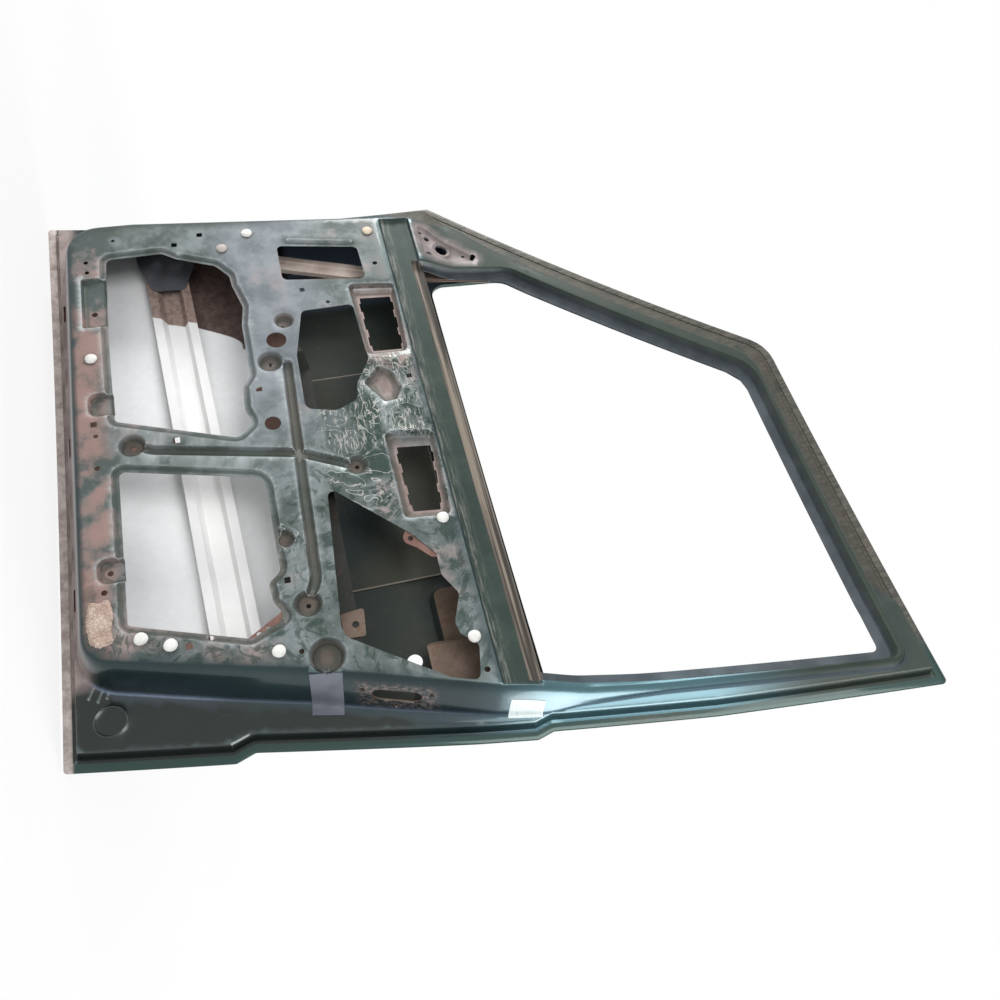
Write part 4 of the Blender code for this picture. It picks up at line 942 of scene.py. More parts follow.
def panel_place(where):
    """What the finishes of the inner panel depend on: the place on the door, noises of five
    sizes and the values stored at the vertices."""
    x, z = door_place(where)
    marks = dict(zip(PANEL_MARKS, marks_of(where, *PANEL_MARKS)))
    return SimpleNamespace(
        where=where, x=x, z=z, broad=noise(where, 5.0, 3.0),
        middling=noise(where, 22.0, 5.0, 0.6), fine=noise(where, 160.0, 4.0, 0.7),
        grain=noise(where, 900.0, 2.0),
        streaks=noise(stretched(where, (70.0, 70.0, 9.0), (0.0, -0.3, 0.0)), 3.0, 4.0, 0.7),
        **marks)


def frame_top(at):
    """1 on the front pillar and the roof of the window frame."""
    return ramp(at.z - at.x * 0.55, 250.0, 420.0) * ramp(at.z, 600.0, 640.0)


def shut_wall_paint(at):
    """Gloss paint: dark on the shut walls, with a painted highlight of lighter teal up the rear
    pillar and of light mint on the ridges, olive round the top, rubbed by the latch, and a painted
    highlight as a pale blue line along the foot of the walls."""
    pillar = ramp(at.z, 500.0, 660.0) * ramp(at.x, 940.0, 1000.0)
    top = frame_top(at)
    land = ramp(at.x - at.z * 0.33, 838.0, 848.0) * ramp(at.z, 470.0, 420.0)
    rub = within(at.z, 386.0, 462.0, 22.0) * within(at.x - at.z * 0.322, 823.0, 834.0, 5.0)
    return layered(
        two_tone(at.broad, 0.35, 0.7, (0.012, 0.026, 0.030), (0.018, 0.040, 0.042)),
        # painted highlight: lighter teal up the rear pillar
        (pillar, (0.070, 0.150, 0.175)),
        (top, tint(at.middling, (0.022, 0.036, 0.030), (0.052, 0.062, 0.050))),
        (land * 0.8, tint(at.middling, (0.016, 0.021, 0.018), (0.028, 0.032, 0.029))),
        (ramp(at.streaks, 0.66, 0.76) * 0.12, (0.20, 0.22, 0.21)),
        # painted highlight: light mint on the ridges, but not round the top
        (ramp(at.edge, 0.03, 0.12) * (1.0 - top) * 0.35, (0.22, 0.31, 0.31)),
        (rub * ramp(noise(at.where, 150.0, 5.0, 0.7), 0.40, 0.62) * 0.6, (0.27, 0.20, 0.18)),
        # painted highlight: a pale blue line along the foot of the walls, strongest low down
        (at.foot * (0.30 + ramp(at.z, 230.0, 150.0) * 0.55) * (0.6 + at.fine * 0.6),
         (0.24, 0.30, 0.42)))


def belt_paint(at):
    """Belt band, worn pale along its two edges."""
    worn = maximum(ramp(at.z, 582.0, 560.0), ramp(at.z, 602.0, 611.0) * 0.7)
    drawn = noise(stretched(at.where, (12.0, 60.0, 160.0)), 2.0, 4.0, 0.7)
    return layered(
        two_tone(at.middling, 0.35, 0.7, (0.020, 0.034, 0.028), (0.034, 0.052, 0.043)),
        (worn * ramp(drawn, 0.46, 0.62) * 0.7, (0.21, 0.21, 0.19)),
        (ramp(at.fine, 0.62, 0.75) * ramp(at.middling, 0.45, 0.6) * 0.5, (0.17, 0.15, 0.12)))


def trim_smudges(at):
    """Where dark green shows through the dust of the trim flat, in blots and smears."""
    smudge = within(at.x, 440.0, 700.0, 60.0) * ramp(at.z, 400.0, 460.0)
    smudge = maximum(smudge, ramp(at.x + at.z * 0.5, 700.0, 860.0) * 0.8)
    blot = ramp(noise(at.where, 26.0, 7.0, 0.7, 1.4), 0.49, 0.56)
    smeared = within(at.x, 452.0, 640.0, 24.0) * within(at.z, 402.0, 476.0, 12.0)
    smudge = maximum(smudge * blot, smeared * ramp(at.middling + at.broad * 0.3, 0.52, 0.66))
    return smudge * (1.0 - at.sunk)


def trim_paint(at, smudge):
    """Dull trim flat: palest on the webs between the front openings, brown low down and in the
    pressed forms, dark in the grooves and cups, with painted shade in its creases and pale wear
    with a painted highlight along its ridges."""
    webs = within(at.z, 300.0, 400.0, 60.0) * ramp(at.x, 640.0, 420.0)
    low = ramp(at.z + at.broad * 60.0, 140.0, 105.0)
    browned = maximum(low * ramp(at.middling + at.broad * 0.5, 0.60, 0.80),
                      ramp(at.broad + at.middling * 0.5, 0.80, 0.96) * 0.6,
                      at.sunk * ramp(at.broad + at.z * 0.0004, 0.52, 0.72) * 0.7)
    olive = ramp(at.x + at.broad * 60.0, 150.0, 110.0) * (1.0 - low)
    return layered(
        two_tone(at.middling, 0.38, 0.66, (0.080, 0.099, 0.094), (0.205, 0.232, 0.235)),
        (webs * 0.8,
         two_tone(at.middling, 0.3, 0.7, (0.150, 0.170, 0.186), (0.255, 0.275, 0.295))),
        (browned, tint(at.middling, (0.215, 0.130, 0.110), (0.36, 0.25, 0.225))),
        (olive * (0.5 + at.fine * 0.6), (0.072, 0.086, 0.064)),
        (ramp(at.x, 300.0, 250.0) * ramp(at.z, 512.0, 536.0) * 0.7,
         tint(at.middling, (0.060, 0.078, 0.072), (0.135, 0.150, 0.145))),
        (smudge * 0.85, (0.018, 0.042, 0.032)),
        (ramp(at.fine, 0.60, 0.72) * 0.25, (0.38, 0.39, 0.38)),
        (at.groove * 0.5, tint(at.fine, (0.060, 0.075, 0.056), (0.12, 0.13, 0.10))),
        (at.cup * (0.45 + at.middling * 0.7),
         tint(at.fine, (0.052, 0.044, 0.038), (0.145, 0.098, 0.078))),
        # painted shade: darker in the creases, where the surface turns inwards
        (ramp(at.edge, -0.012, -0.05) * 0.6, (0.035, 0.046, 0.036)),
        # pale wear and painted highlight: light along the ridges
        (ramp(at.edge, 0.035, 0.12) * 0.55, (0.55, 0.59, 0.59)),
        # darker round each plug
        (ramp(at.plug, 0.25, 0.85) * (0.4 + at.fine * 0.6) * 0.6, (0.040, 0.042, 0.034)))


def adhesive(at):
    """Old adhesive: thin curled lines where a noise crosses its middle, and feathery strokes
    round the slots."""
    curl = noise(at.where, 17.0, 1.8, 0.5, 2.4)
    line = ramp(absolute(curl - 0.5), 0.012, 0.004)
    residue = line * within(at.x, 430.0, 680.0, 40.0) * within(at.z, 395.0, 552.0, 18.0) * 0.8
    feather = ramp(noise(stretched(at.where, (1.0, 1.0, 5.0), (0.0, 0.9, 0.0)), 70.0, 3.0, 0.6),
                   0.55, 0.62)
    round_slots = within(at.x, 400.0, 590.0, 20.0) * within(at.z, 400.0, 556.0, 14.0)
    return maximum(residue, feather * round_slots * 0.6) * (1.0 - at.sunk)


def panel_paint(where):
    """Inner panel: dull dusty paint on the trim flat, gloss on the frame and the shut walls,
    brown primer and dirt at the sill, the sail and the outer flange."""
    at = panel_place(where)
    smudge, residue = trim_smudges(at), adhesive(at)
    lines = noise(stretched(at.where, (3.0, 3.0, 150.0)), 1.0, 3.0, 0.6)
    colour = layered(
        tint(at.flat, shut_wall_paint(at),
             tint(residue * 0.75, trim_paint(at, smudge), (0.56, 0.54, 0.50))),
        (at.band, belt_paint(at)),
        (at.sail * 0.95,
         two_tone(at.middling, 0.3, 0.7, (0.150, 0.135, 0.130), (0.34, 0.285, 0.275))),
        (at.lip * 0.9,
         two_tone(at.middling, 0.35, 0.7, (0.045, 0.055, 0.064), (0.078, 0.092, 0.105))),
        (at.lip * ramp(at.z, 622.0, 612.0) * 0.9,
         two_tone(lines, 0.40, 0.60, (0.045, 0.036, 0.028), (0.26, 0.215, 0.17))),
        (at.flange * ramp(at.middling + at.broad * 0.5, 0.45, 0.75) * 0.85,
         two_tone(at.streaks, 0.3, 0.75, (0.060, 0.053, 0.042), (0.125, 0.110, 0.092))),
        (at.sill * 0.9,
         two_tone(at.middling, 0.35, 0.65, (0.23, 0.18, 0.165), (0.42, 0.34, 0.32))))

    dull = maximum(maximum(at.flat, at.sail), maximum(at.sill, at.flange))
    matt = maximum(dull, at.band, frame_top(at) * 0.8)
    rough = 0.20 + matt * 0.28 + at.middling * 0.08 - smudge * at.flat * 0.25
    height = at.fine * 0.35 + at.grain * 0.15 + residue * 0.5 * at.flat + smudge * 0.3 * at.flat
    return {"Base Color": colour, "Roughness": rough, "Metallic": 0.45 - matt * 0.25,
            "Coat Weight": (1.0 - matt) * 0.5, "Coat Roughness": 0.06,
            "Normal": bump(height, 0.25, 0.0012)}


def panel_back(where):
    """Far side of the inner panel: body colour over primer, thin and dusty."""
    mottle = noise(where, 14.0, 4.0, 0.6)
    fine = noise(where, 220.0, 3.0, 0.6)
    colour = two_tone(mottle, 0.35, 0.7, (0.030, 0.050, 0.044), (0.11, 0.085, 0.07))
    return {"Base Color": colour, "Roughness": 0.45 + mottle * 0.2, "Metallic": 0.2,
            "Normal": bump(fine, 0.2, 0.0008)}


def skin_outside(where):
    """Outer side of the skin and the hem: gloss paint with a film of dust; the hem is pale
    and pinkish with dirt along the sill, worn to olive round the window frame."""
    x, z = door_place(where)
    hem, = marks_of(where, "hem")
    mottle = noise(where, 6.0, 4.0, 0.6)
    dusty = ramp(mottle, 0.45, 0.75) * ramp(z, 420.0, 20.0)
    low = hem * ramp(z, 14.0, 9.0)
    high = hem * ramp(z - x * 0.2, 470.0, 560.0) * ramp(x, 1090.0, 1030.0) * 0.85
    spots = noise(where, 45.0, 5.0, 0.7)
    streaks = noise(stretched(where, (60.0, 60.0, 9.0)), 3.0, 5.0, 0.7)
    colour = layered(
        tint(noise(where, 1400.0, 1.0), (0.012, 0.036, 0.032), (0.022, 0.060, 0.052)),
        (dusty * 0.2, (0.20, 0.18, 0.16)),
        (low * 0.95, two_tone(spots, 0.35, 0.65, (0.38, 0.31, 0.29), (0.62, 0.55, 0.52))),
        (high, two_tone(streaks, 0.35, 0.65, (0.055, 0.051, 0.043), (0.14, 0.122, 0.102))))
    worn = maximum(low, high)
    return {"Base Color": colour, "Roughness": 0.24 + dusty * 0.2 + worn * 0.3, "Metallic": 0.3,
            "Coat Weight": 0.6 - worn * 0.6, "Coat Roughness": 0.05,
            "Normal": bump(mottle, 0.05, 0.002)}


def skin_inside(where):
    """Inner side of the skin: brown near the hinges, white low down, near black above as painted
    shade of the cavity.
    """
    x, z = door_place(where)
    broad = noise(where, 6.0, 4.0, 0.6)
    fine = noise(where, 90.0, 5.0, 0.65)
    rusty = tint(fine, (0.16, 0.085, 0.065), (0.30, 0.18, 0.15))
    # painted shade: near black over the upper part of the cavity
    dark = layered(
        two_tone(broad, 0.35, 0.7, (0.020, 0.028, 0.025), (0.034, 0.039, 0.030)),
        (ramp(fine, 0.58, 0.72) * 0.25, (0.10, 0.085, 0.06)),
        (ramp(x, 250.0, 200.0) * ramp(z, 380.0, 400.0), (0.15, 0.20, 0.28)),
        (within(x, 250.0, 500.0, 12.0) * ramp(z, 376.0, 370.0) * 0.9, rusty))
    line = z + broad * 10.0 - ramp(x, 110.0, 215.0) * 26.0 - ramp(x, 215.0, 290.0) * 104.0
    shown = ramp(line, 166.0, 170.0) * ramp(x + broad * 8.0, 306.0, 302.0)
    web = ramp(x - z * 0.38, 386.0, 392.0) * ramp(x - z * 0.26, 483.0, 477.0)
    outer = maximum(ramp(z, 74.0, 68.0), ramp(x - z * 0.33, 740.0, 746.0))
    colour = layered(
        two_tone(fine, 0.3, 0.75, (0.90, 0.90, 0.90), (0.95, 0.95, 0.95)),
        (shown, two_tone(fine, 0.35, 0.7, (0.085, 0.056, 0.050), (0.150, 0.100, 0.088))),
        (maximum(web, outer), rusty),
        # painted shade over the upper part
        (ramp(z + broad * 20.0, 314.0, 330.0), dark))
    return {"Base Color": colour, "Roughness": 0.5, "Metallic": 0.0,
            "Normal": bump(fine, 0.15, 0.001)}


def primed_steel(light, dark, rusty):
    """Paint function of a primed bracket, beam or plate in two shades with rust and dust."""
    def paint(where):
        broad = noise(where, 18.0, 4.0, 0.6)
        fine = noise(where, 150.0, 4.0, 0.65)
        spots = ramp(noise(where, 55.0, 5.0, 0.7), 0.56, 0.66)
        colour = layered(two_tone(broad, 0.3, 0.7, dark, light),
                         (spots * rusty, (0.115, 0.045, 0.022)),
                         (ramp(fine, 0.6, 0.75) * 0.2, (0.33, 0.30, 0.27)))
        return {"Base Color": colour, "Roughness": 0.45 + broad * 0.2, "Metallic": 0.15,
                "Normal": bump(fine, 0.25, 0.001)}
    return paint


def beam_paint(where):
    """Intrusion beam: beige-brown at the hinge end, paler with dust along its length."""
    x, z = door_place(where)
    broad = noise(where, 14.0, 4.0, 0.6)
    fine = noise(where, 120.0, 4.0, 0.65)
    brown = two_tone(fine, 0.3, 0.7, (0.22, 0.155, 0.135), (0.37, 0.28, 0.24))
    pale = two_tone(broad, 0.3, 0.7, (0.84, 0.83, 0.82), (0.90, 0.89, 0.88))
    colour = two_tone(x + broad * 6.0 - z * 0.3, 184.0, 187.0, brown, pale)
    return {"Base Color": colour, "Roughness": 0.55, "Metallic": 0.05,
            "Normal": bump(fine, 0.2, 0.001)}


def steel(where):
    """Bare steel of the weld nuts, dulled and spotted with rust."""
    fine = noise(where, 300.0, 4.0, 0.7)
    colour = two_tone(fine, 0.5, 0.7, (0.34, 0.33, 0.31), (0.16, 0.075, 0.04))
    return {"Base Color": colour, "Roughness": 0.32 + fine * 0.25, "Metallic": 0.85}


def plug_plastic(shade):
    """Paint function of a trim plug: moulded plastic, dirty round its rim and speckled."""
    def paint(where):
        mottle = noise(where, 120.0, 4.0, 0.6)
        rim, = marks_of(where, "rim")
        colour = layered(shade, (ramp(mottle, 0.4, 0.75) * 0.35, (0.42, 0.34, 0.25)),
                         (rim * 0.55, (0.20, 0.16, 0.12)))
        return {"Base Color": colour, "Roughness": 0.42 + mottle * 0.15,
                "Subsurface Weight": 0.05, "Normal": bump(mottle, 0.12, 0.0004)}
    return paint


def damping(where):
    """Bitumen damping sheet: near black with a pebbled skin and pale dust at its edges."""
    x, z = door_place(where)
    pebble = where.node("ShaderNodeTexVoronoi", None, {"Vector": where, "Scale": 260.0},
                        "Distance")
    broad = noise(where, 8.0, 4.0)
    start, full = DAMPING_BORDER
    border = maximum(*(ramp(absolute(along - middle), half - start, half - full)
                       for along, middle, half in zip((x, z), DAMPING_MIDDLE, DAMPING_HALF)))
    colour = layered(
        two_tone(broad, 0.35, 0.7, (0.024, 0.034, 0.033), (0.046, 0.048, 0.036)),
        (ramp(z, 470.0, 500.0), (0.085, 0.085, 0.070)),
        (border * 0.8, (0.30, 0.27, 0.22)),
        (ramp(x, 530.0, 500.0) * ramp(z, 362.0, 346.0) * 0.9,
         tint(broad, (0.15, 0.080, 0.060), (0.27, 0.16, 0.13))))
    return {"Base Color": colour, "Roughness": 0.62, "Normal": bump(pebble, 0.35, 0.0015)}


def sealant(where):
    """Cream sealant, cracked all over like dried mud."""
    cells = where.node("ShaderNodeTexVoronoi", {"feature": "DISTANCE_TO_EDGE"},
                       {"Vector": where, "Scale": 210.0, "Randomness": 1.0}, "Distance")
    mottle = noise(where, 60.0, 5.0, 0.65)
    colour = layered(two_tone(mottle, 0.3, 0.7, (0.42, 0.30, 0.24), (0.68, 0.54, 0.46)),
                     (ramp(cells, 0.10, 0.02) * 0.45, (0.20, 0.13, 0.10)))
    return {"Base Color": colour, "Roughness": 0.85,
            "Normal": bump(cells * 2.0 + mottle * 0.5, 0.6, 0.0015)}


def tape_film(where):
    """Strip of grey tape: fine weave, slight wrinkles across it."""
    weave = noise(stretched(where, (1.0, 1.0, 12.0)), 260.0, 2.0)
    cloud = noise(where, 25.0, 3.0)
    colour = two_tone(cloud, 0.3, 0.7, (0.115, 0.125, 0.150), (0.165, 0.175, 0.205))
    return {"Base Color": colour, "Roughness": 0.5, "Normal": bump(weave + cloud, 0.15, 0.0006)}


def bare_film(where):
    """Bare white plate with scuffs and a little dirt."""
    scuff = noise(stretched(where, (30.0, 30.0, 220.0)), 2.0, 4.0, 0.7)
    colour = tint(ramp(scuff, 0.50, 0.72) * 0.5, (0.80, 0.88, 0.87), (0.40, 0.46, 0.45))
    return {"Base Color": colour, "Roughness": 0.35}


# Primer of each part inside the door: two shades, share of rust, and the parts that have it
PRIMERS = {
    "brown_primer": ((0.175, 0.125, 0.095), (0.100, 0.068, 0.050), 0.5,
                     ("rear_guide_bracket", "belt_reinforcement_inner", "stiffener_bracket",
                      "hinge_reinforcement_lower", "hinge_reinforcement_upper",
                      "latch_reinforcement", "handle_reinforcement")),
    "red_primer": ((0.24, 0.145, 0.12), (0.150, 0.075, 0.062), 0.5,
                   ("tab_bracket", "corner_bracket")),
    "slate_primer": ((0.120, 0.124, 0.140), (0.075, 0.080, 0.094), 0.25,
                     ("window_channel", "belt_reinforcement_outer", "beam_bracket_front",
                      "beam_bracket_rear", "mirror_reinforcement")),
    "mauve_primer": ((0.024, 0.024, 0.021), (0.013, 0.015, 0.012), 0.15,
                     ("rear_glass_guide", "cross_stiffener")),
    "guide_primer": ((0.33, 0.25, 0.20), (0.20, 0.145, 0.115), 0.3, ("front_glass_guide",)),
}
GUIDE_FOOT_PRIMER = ((0.82, 0.70, 0.62), (0.58, 0.46, 0.39), 0.15)
OTHER_FINISHES = {
    "beam": (beam_paint, ("intrusion_beam",)),
    "damping": (damping, ("skin_damping_sheet",)),
    "nut_steel": (steel, ("weld_nut_1", "weld_nut_2", "weld_nut_3")),
}
ODD_PLUGS = {2: "grey_plug", 3: "tan_plug"}


# Sizes and colours that a user would change


class DoorSizes(bpy.types.PropertyGroup):
    """Sizes of the fine pressings, in millimetres."""
    ridge_fillet: bpy.props.FloatProperty(
        name="Ridge fillet", description="Reach in mm of the rounding where the walls start",
        default=6.0, min=2.0, max=9.0)
    foot_fillet: bpy.props.FloatProperty(
        name="Foot fillet", description="Width in mm of the rounding at the walls' feet",
        default=8.0, min=1.0, max=12.0)
    loose_step: bpy.props.FloatProperty(
        name="Mesh step", description="Spacing in mm of the points between the forms",
        default=11.0, min=6.0, max=30.0)
    plug_sides: bpy.props.IntProperty(
        name="Plug sides", description="Points round each trim plug", default=40, min=12, max=96)


class DoorColours(bpy.types.PropertyGroup):
    """Colours of the small pieces."""
    plug: bpy.props.FloatVectorProperty(
        name="Plugs", description="Colour of most trim plugs", subtype="COLOR",
        default=(0.84, 0.82, 0.78), size=3, min=0.0, max=1.0)
    tan_plug: bpy.props.FloatVectorProperty(
        name="Tan plug", description="Colour of the plug by the front upper corner",
        subtype="COLOR", default=(0.72, 0.60, 0.46), size=3, min=0.0, max=1.0)
    grey_plug: bpy.props.FloatVectorProperty(
        name="Grey plug", description="Colour of the plug by the front lower opening",
        subtype="COLOR", default=(0.50, 0.44, 0.41), size=3, min=0.0, max=1.0)


# Pieces


def straight(start, end, spacing):
    """Points along a straight line."""
    return rounded([(*start, 0), (*end, 0)], closed=False, step=spacing)


def panel_rings(fillet):
    """Rows of points along every fold of the inner panel, as (points, closed)."""
    rows = []
    for share in WALL_ROWS:
        form = FORM_WALL * share
        rows.append(rounded(inset(DOOR_OUTLINE, HEM_FLANGE + HEM_STEP * share)))
        rows.append(rounded(inset(REBATE_OUTLINE, REBATE_WALL * share)))
        rows.append(rounded(inset(BELT_BAND, form)))
        rows.append(rounded(inset(SAIL, form), step=5.0))
        rows += [rounded(inset(corners, wall * share), step=5.0) for corners, _, wall in PATCHES]
        rows += [rounded(inset(OPENINGS[name], form - RIM_WIDTH), step=6.0) for name in RIMMED]
        rows += [stroke(path, half - GROOVE_WALL * share)
                 for path, (_, half, _) in zip(GROOVE_PATHS, GROOVES)]
        rows += [circle(x, z, radius - CUP_WALL * share, CUP_SIDES) for x, z, radius, _ in CUPS]
        rows += [stroke(straight(start, end, 4.0), half * (1.0 - BEAD_WALL * share))
                 for start, end, half, _ in BEADS]
    rows += [rounded(inset(RIDGE_OUTLINE, -fillet * share)) for share in RIDGE_ROWS]
    rows += [circle(x, z, radius + RING_HALF * share, FINE_SIDES)
             for x, z, radius in (SAIL_RING, LAND_RING) for share in RIDGE_ROWS]
    rows += [stroke(straight(*ends, 3.0), half) for ends in LAND_MARKS for half in (1.0, 2.0, 3.0)]
    out = outward(RIDGE_LINE)
    reach = np.full(len(out), WALL_REACH_GUESS)
    for _ in range(WALL_REACH_ROUNDS):
        spots = RIDGE_LINE + out * reach[:, None]
        reach = (land_y(*spots.T) - face_y(*spots.T)) / WALL_SLOPE
    rows += [RIDGE_LINE + out * (reach + away)[:, None] for away in FOOT_ROWS]
    return [(row, True) for row in rows]


def staggered(low, high, spacing):
    """Points of a grid whose every second row is shifted by half a space."""
    x, z = np.meshgrid(np.arange(low[0], high[0], spacing), np.arange(low[1], high[1], spacing))
    x = x + spacing / 2 * (np.arange(len(x)) % 2)[:, None]
    return np.stack([x.ravel(), z.ravel()], axis=1)


def clear_of(rings, loose, cell=5.0):
    """The loose points whose cell of a square grid, and its neighbours, hold no ring point."""
    rows = np.concatenate([ring for ring, _ in rings])
    low = np.minimum(rows.min(0), loose.min(0)) - 2 * cell
    across = ((np.maximum(rows.max(0), loose.max(0)) - low) / cell).astype(int) + 3
    taken = np.zeros(across, bool)
    taken[tuple(((rows - low) / cell).astype(int).T)] = True
    spread = np.zeros_like(taken)
    for i in (-1, 0, 1):
        for j in (-1, 0, 1):
            spread |= np.roll(taken, (i, j), (0, 1))
    return loose[~spread[tuple(((loose - low) / cell).astype(int).T)]]


def panel_marks(points):
    """Where each finish of the inner panel lies, from 0 to 1, as named values."""
    x, z = points.T
    outside = signed_distance(RIDGE_LINE, points)
    wall_width = (land_y(x, z) - face_y(x, z)) / WALL_SLOPE
    to_plug = np.min([np.hypot(x - px, z - pz) for px, pz in PLUG_PLACES], axis=0)
    return {
        "flat": eased(outside, *TRIM_EDGE) * eased(z, *TRIM_TOP),
        "band": sink(signed_distance(rounded(BELT_BAND), points, 20.0), FORM_WALL),
        "lip": sink(signed_distance(REBATE_LINE, points), REBATE_WALL),
        "sail": sink(signed_distance(rounded(SAIL), points, 30.0) - SAIL_SPREAD, FORM_WALL),
        "sill": eased(outside, *SILL_OUT) * eased(z, *SILL_HEIGHT) * eased(x, *SILL_REAR),
        "flange": (eased(outside, *FLANGE_OUT)
                   * (eased(z, *FLANGE_HEIGHT) * eased(x, *FLANGE_REAR))),
        # where the painted highlight along the foot of the walls lies
        "foot": np.exp(-((outside - wall_width) / FOOT_HIGHLIGHT_WIDTH) ** 2),
        "sunk": np.clip(np.where(outside < 0, form_depth(points), 0.0) / SUNK_DEPTH, 0, 1),
        "plug": eased(to_plug, *PLUG_DARKENING),
        "groove": np.max([sink(path_distance(path, points) - half, GROOVE_WALL)
                          for path, (_, half, _) in zip(GROOVE_PATHS, GROOVES)], axis=0),
        "cup": np.max([sink(np.hypot(x - cx, z - cz) - radius, CUP_WALL)
                       for cx, cz, radius, _ in CUPS], axis=0),
    }


class DOOR_OT_inner_panel(bpy.types.Operator):
    """Fine inner panel and window frame: one sheet cut flat and pushed out to its level"""
    bl_idname = "door.inner_panel"
    bl_label = "Inner panel"

    def execute(self, context):
        sizes = context.scene.door_sizes
        loose = staggered(DOOR_LINE.min(0), DOOR_LINE.max(0), sizes.loose_step)
        rings = panel_rings(sizes.ridge_fillet)
        flat, triangles = cut_sheet(DOOR_LINE, panel_holes(), rings, clear_of(rings, loose))
        face = at_level(flat, panel_y(flat, sizes.ridge_fillet, sizes.foot_fillet))
        vertices, faces = thicken(face, triangles, PANEL_THICKNESS)
        marks = {**panel_marks(flat), "edge": roundness(face, triangles)}
        panel = sheet_object("panel_sheet", vertices, faces,
                             [material("panel_paint", panel_paint),
                              material("panel_back", panel_back)], far_side(faces, triangles),
                             {name: np.tile(values, 2) for name, values in marks.items()})
        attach(panel, BODY)
        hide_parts("inner_panel")
        return {"FINISHED"}


def skin_window():
    """Window opening of the skin, wider than the inner panel's but for its raised lower edge."""
    grown = inset(WINDOW_OPENING, -SKIN_WINDOW_GROW)
    for low, high in ((0, 1), (-1, -2)):
        (x0, z0, radius), (x1, z1, _) = grown[low], grown[high]
        x = x0 + (x1 - x0) * (SKIN_BELT_HEIGHT - z0) / (z1 - z0)
        grown[low] = (x, SKIN_BELT_HEIGHT, radius)
    return grown


def outward(line):
    """Unit vectors out of a closed line."""
    ahead = np.roll(line, -1, axis=0) - np.roll(line, 1, axis=0)
    ahead *= math.copysign(1.0, signed_area(line)) / np.linalg.norm(ahead, axis=1)[:, None]
    return np.stack([ahead[:, 1], -ahead[:, 0]], axis=1)


def nearest_on(outline, points):
    """The nearest place on a closed outline to each point."""
    starts, ends = outline, np.roll(outline, -1, axis=0)
    runs = ends - starts
    away = points[:, None] - starts[None]
    along = np.einsum("ijk,jk->ij", away, runs) / np.maximum(np.sum(runs ** 2, axis=1), 1e-9)
    spots = starts + runs * np.clip(along, 0.0, 1.0)[..., None]
    best = np.argmin(np.linalg.norm(spots - points[:, None], axis=2), axis=1)
    return spots[np.arange(len(points)), best]


def joined_rings(flat, line, rings, start):
    """Triangles that carry a sheet's edge line over some rings of new points; the line's own
    points are found in the sheet, and the rings' numbers start at start."""
    first = np.argmin(np.linalg.norm(flat[None] - line[:, None], axis=2), axis=1)
    count = len(line)
    rows = [first] + [start + count * k + np.arange(count) for k in range(len(rings))]
    faces = []
    for low, high in zip(rows, rows[1:]):
        a, b = low, np.roll(low, -1)
        c, d = high, np.roll(high, -1)
        faces += [np.stack([a, b, d], axis=1), np.stack([a, d, c], axis=1)]
    return np.concatenate(faces)


def folded(line, out, radius, angles):
    """Rows of points of the skin round a fold at a line: each reaches out by the cosine of
    its angle and lies inboard by 1 less its sine, times the fold's radius."""
    rows = []
    for angle in np.radians(angles):
        spot = line + out * radius * math.cos(angle)
        rows.append(at_level(spot, skin_y(*spot.T) - radius * (1 - math.sin(angle))))
    return rows


class DOOR_OT_outer_skin(bpy.types.Operator):
    """Outer skin: a crowned sheet with its handle cup, hemmed round the inner panel"""
    bl_idname = "door.outer_skin"
    bl_label = "Outer skin"

    def execute(self, context):
        fold = HEM_STACK / 2
        edge = rounded(inset(DOOR_OUTLINE, fold - HEM_REACH))
        window = rounded(inset(skin_window(), -WINDOW_FOLD))
        holes = [rounded(slot, step=4.0) for slot in HANDLE_SLOTS]
        holes.append(circle(*LOCK_PLACE, LOCK_HOLE, FINE_SIDES))
        rows = [(rounded(inset(HANDLE_CUP, HANDLE_WALL * share), step=6.0), True)
                for share in WALL_ROWS]
        rows.append((rounded(inset(DOOR_OUTLINE, SKIN_EDGE_ROW)), True))
        loose = staggered(edge.min(0), edge.max(0), SKIN_GRID)
        flat, triangles = cut_sheet(edge, [window] + holes, rows, loose)

        hem = folded(edge, outward(edge), fold, HEM_ANGLES)
        spot = nearest_on(rounded(inset(DOOR_OUTLINE, HEM_RETURN)), edge)
        spot = spot + (edge - spot) * CORNER_SPREAD
        for share in (0.5, 1.0):
            way = edge + (spot - edge) * share
            hem.append(at_level(way, skin_y(*way.T) - HEM_STACK))
        window_out = outward(window)
        flange = folded(window, -window_out, WINDOW_FOLD, HEM_ANGLES[:3])
        spot = window - window_out * WINDOW_FOLD
        flange.append(at_level(spot, skin_y(*spot.T) - SKIN_FLANGE))

        face = np.concatenate([at_level(flat, skin_level(flat))] + hem + flange)
        hem_end = len(flat) + len(edge) * len(hem)
        triangles = np.concatenate([triangles[:, ::-1], joined_rings(flat, edge, hem, len(flat)),
                                    joined_rings(flat, window, flange, hem_end)[:, ::-1]])
        vertices, faces = thicken(face, triangles, SKIN_THICKNESS)
        on_hem = np.zeros(len(face))
        on_hem[len(flat):hem_end] = 1.0
        skin = sheet_object("skin_sheet", vertices, faces,
                            [material("skin_outside", skin_outside),
                             material("skin_inside", skin_inside)], far_side(faces, triangles),
                            {"hem": np.tile(on_hem, 2)})
        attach(skin, BODY)
        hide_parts("outer_skin")
        return {"FINISHED"}


class DOOR_OT_inside_parts(bpy.types.Operator):
    """Finishes of the beam, the brackets, the guides, the plates and the damping sheet"""
    bl_idname = "door.inside_parts"
    bl_label = "Parts inside the door"

    def execute(self, context):
        finishes = {name: (primed_steel(light, dark, rusty), nodes)
                    for name, (light, dark, rusty, nodes) in PRIMERS.items()}
        for name, (paint, nodes) in {**finishes, **OTHER_FINISHES}.items():
            finish = material(name, paint)
            for node in nodes:
                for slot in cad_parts[node].material_slots:
                    slot.material = finish
        return {"FINISHED"}


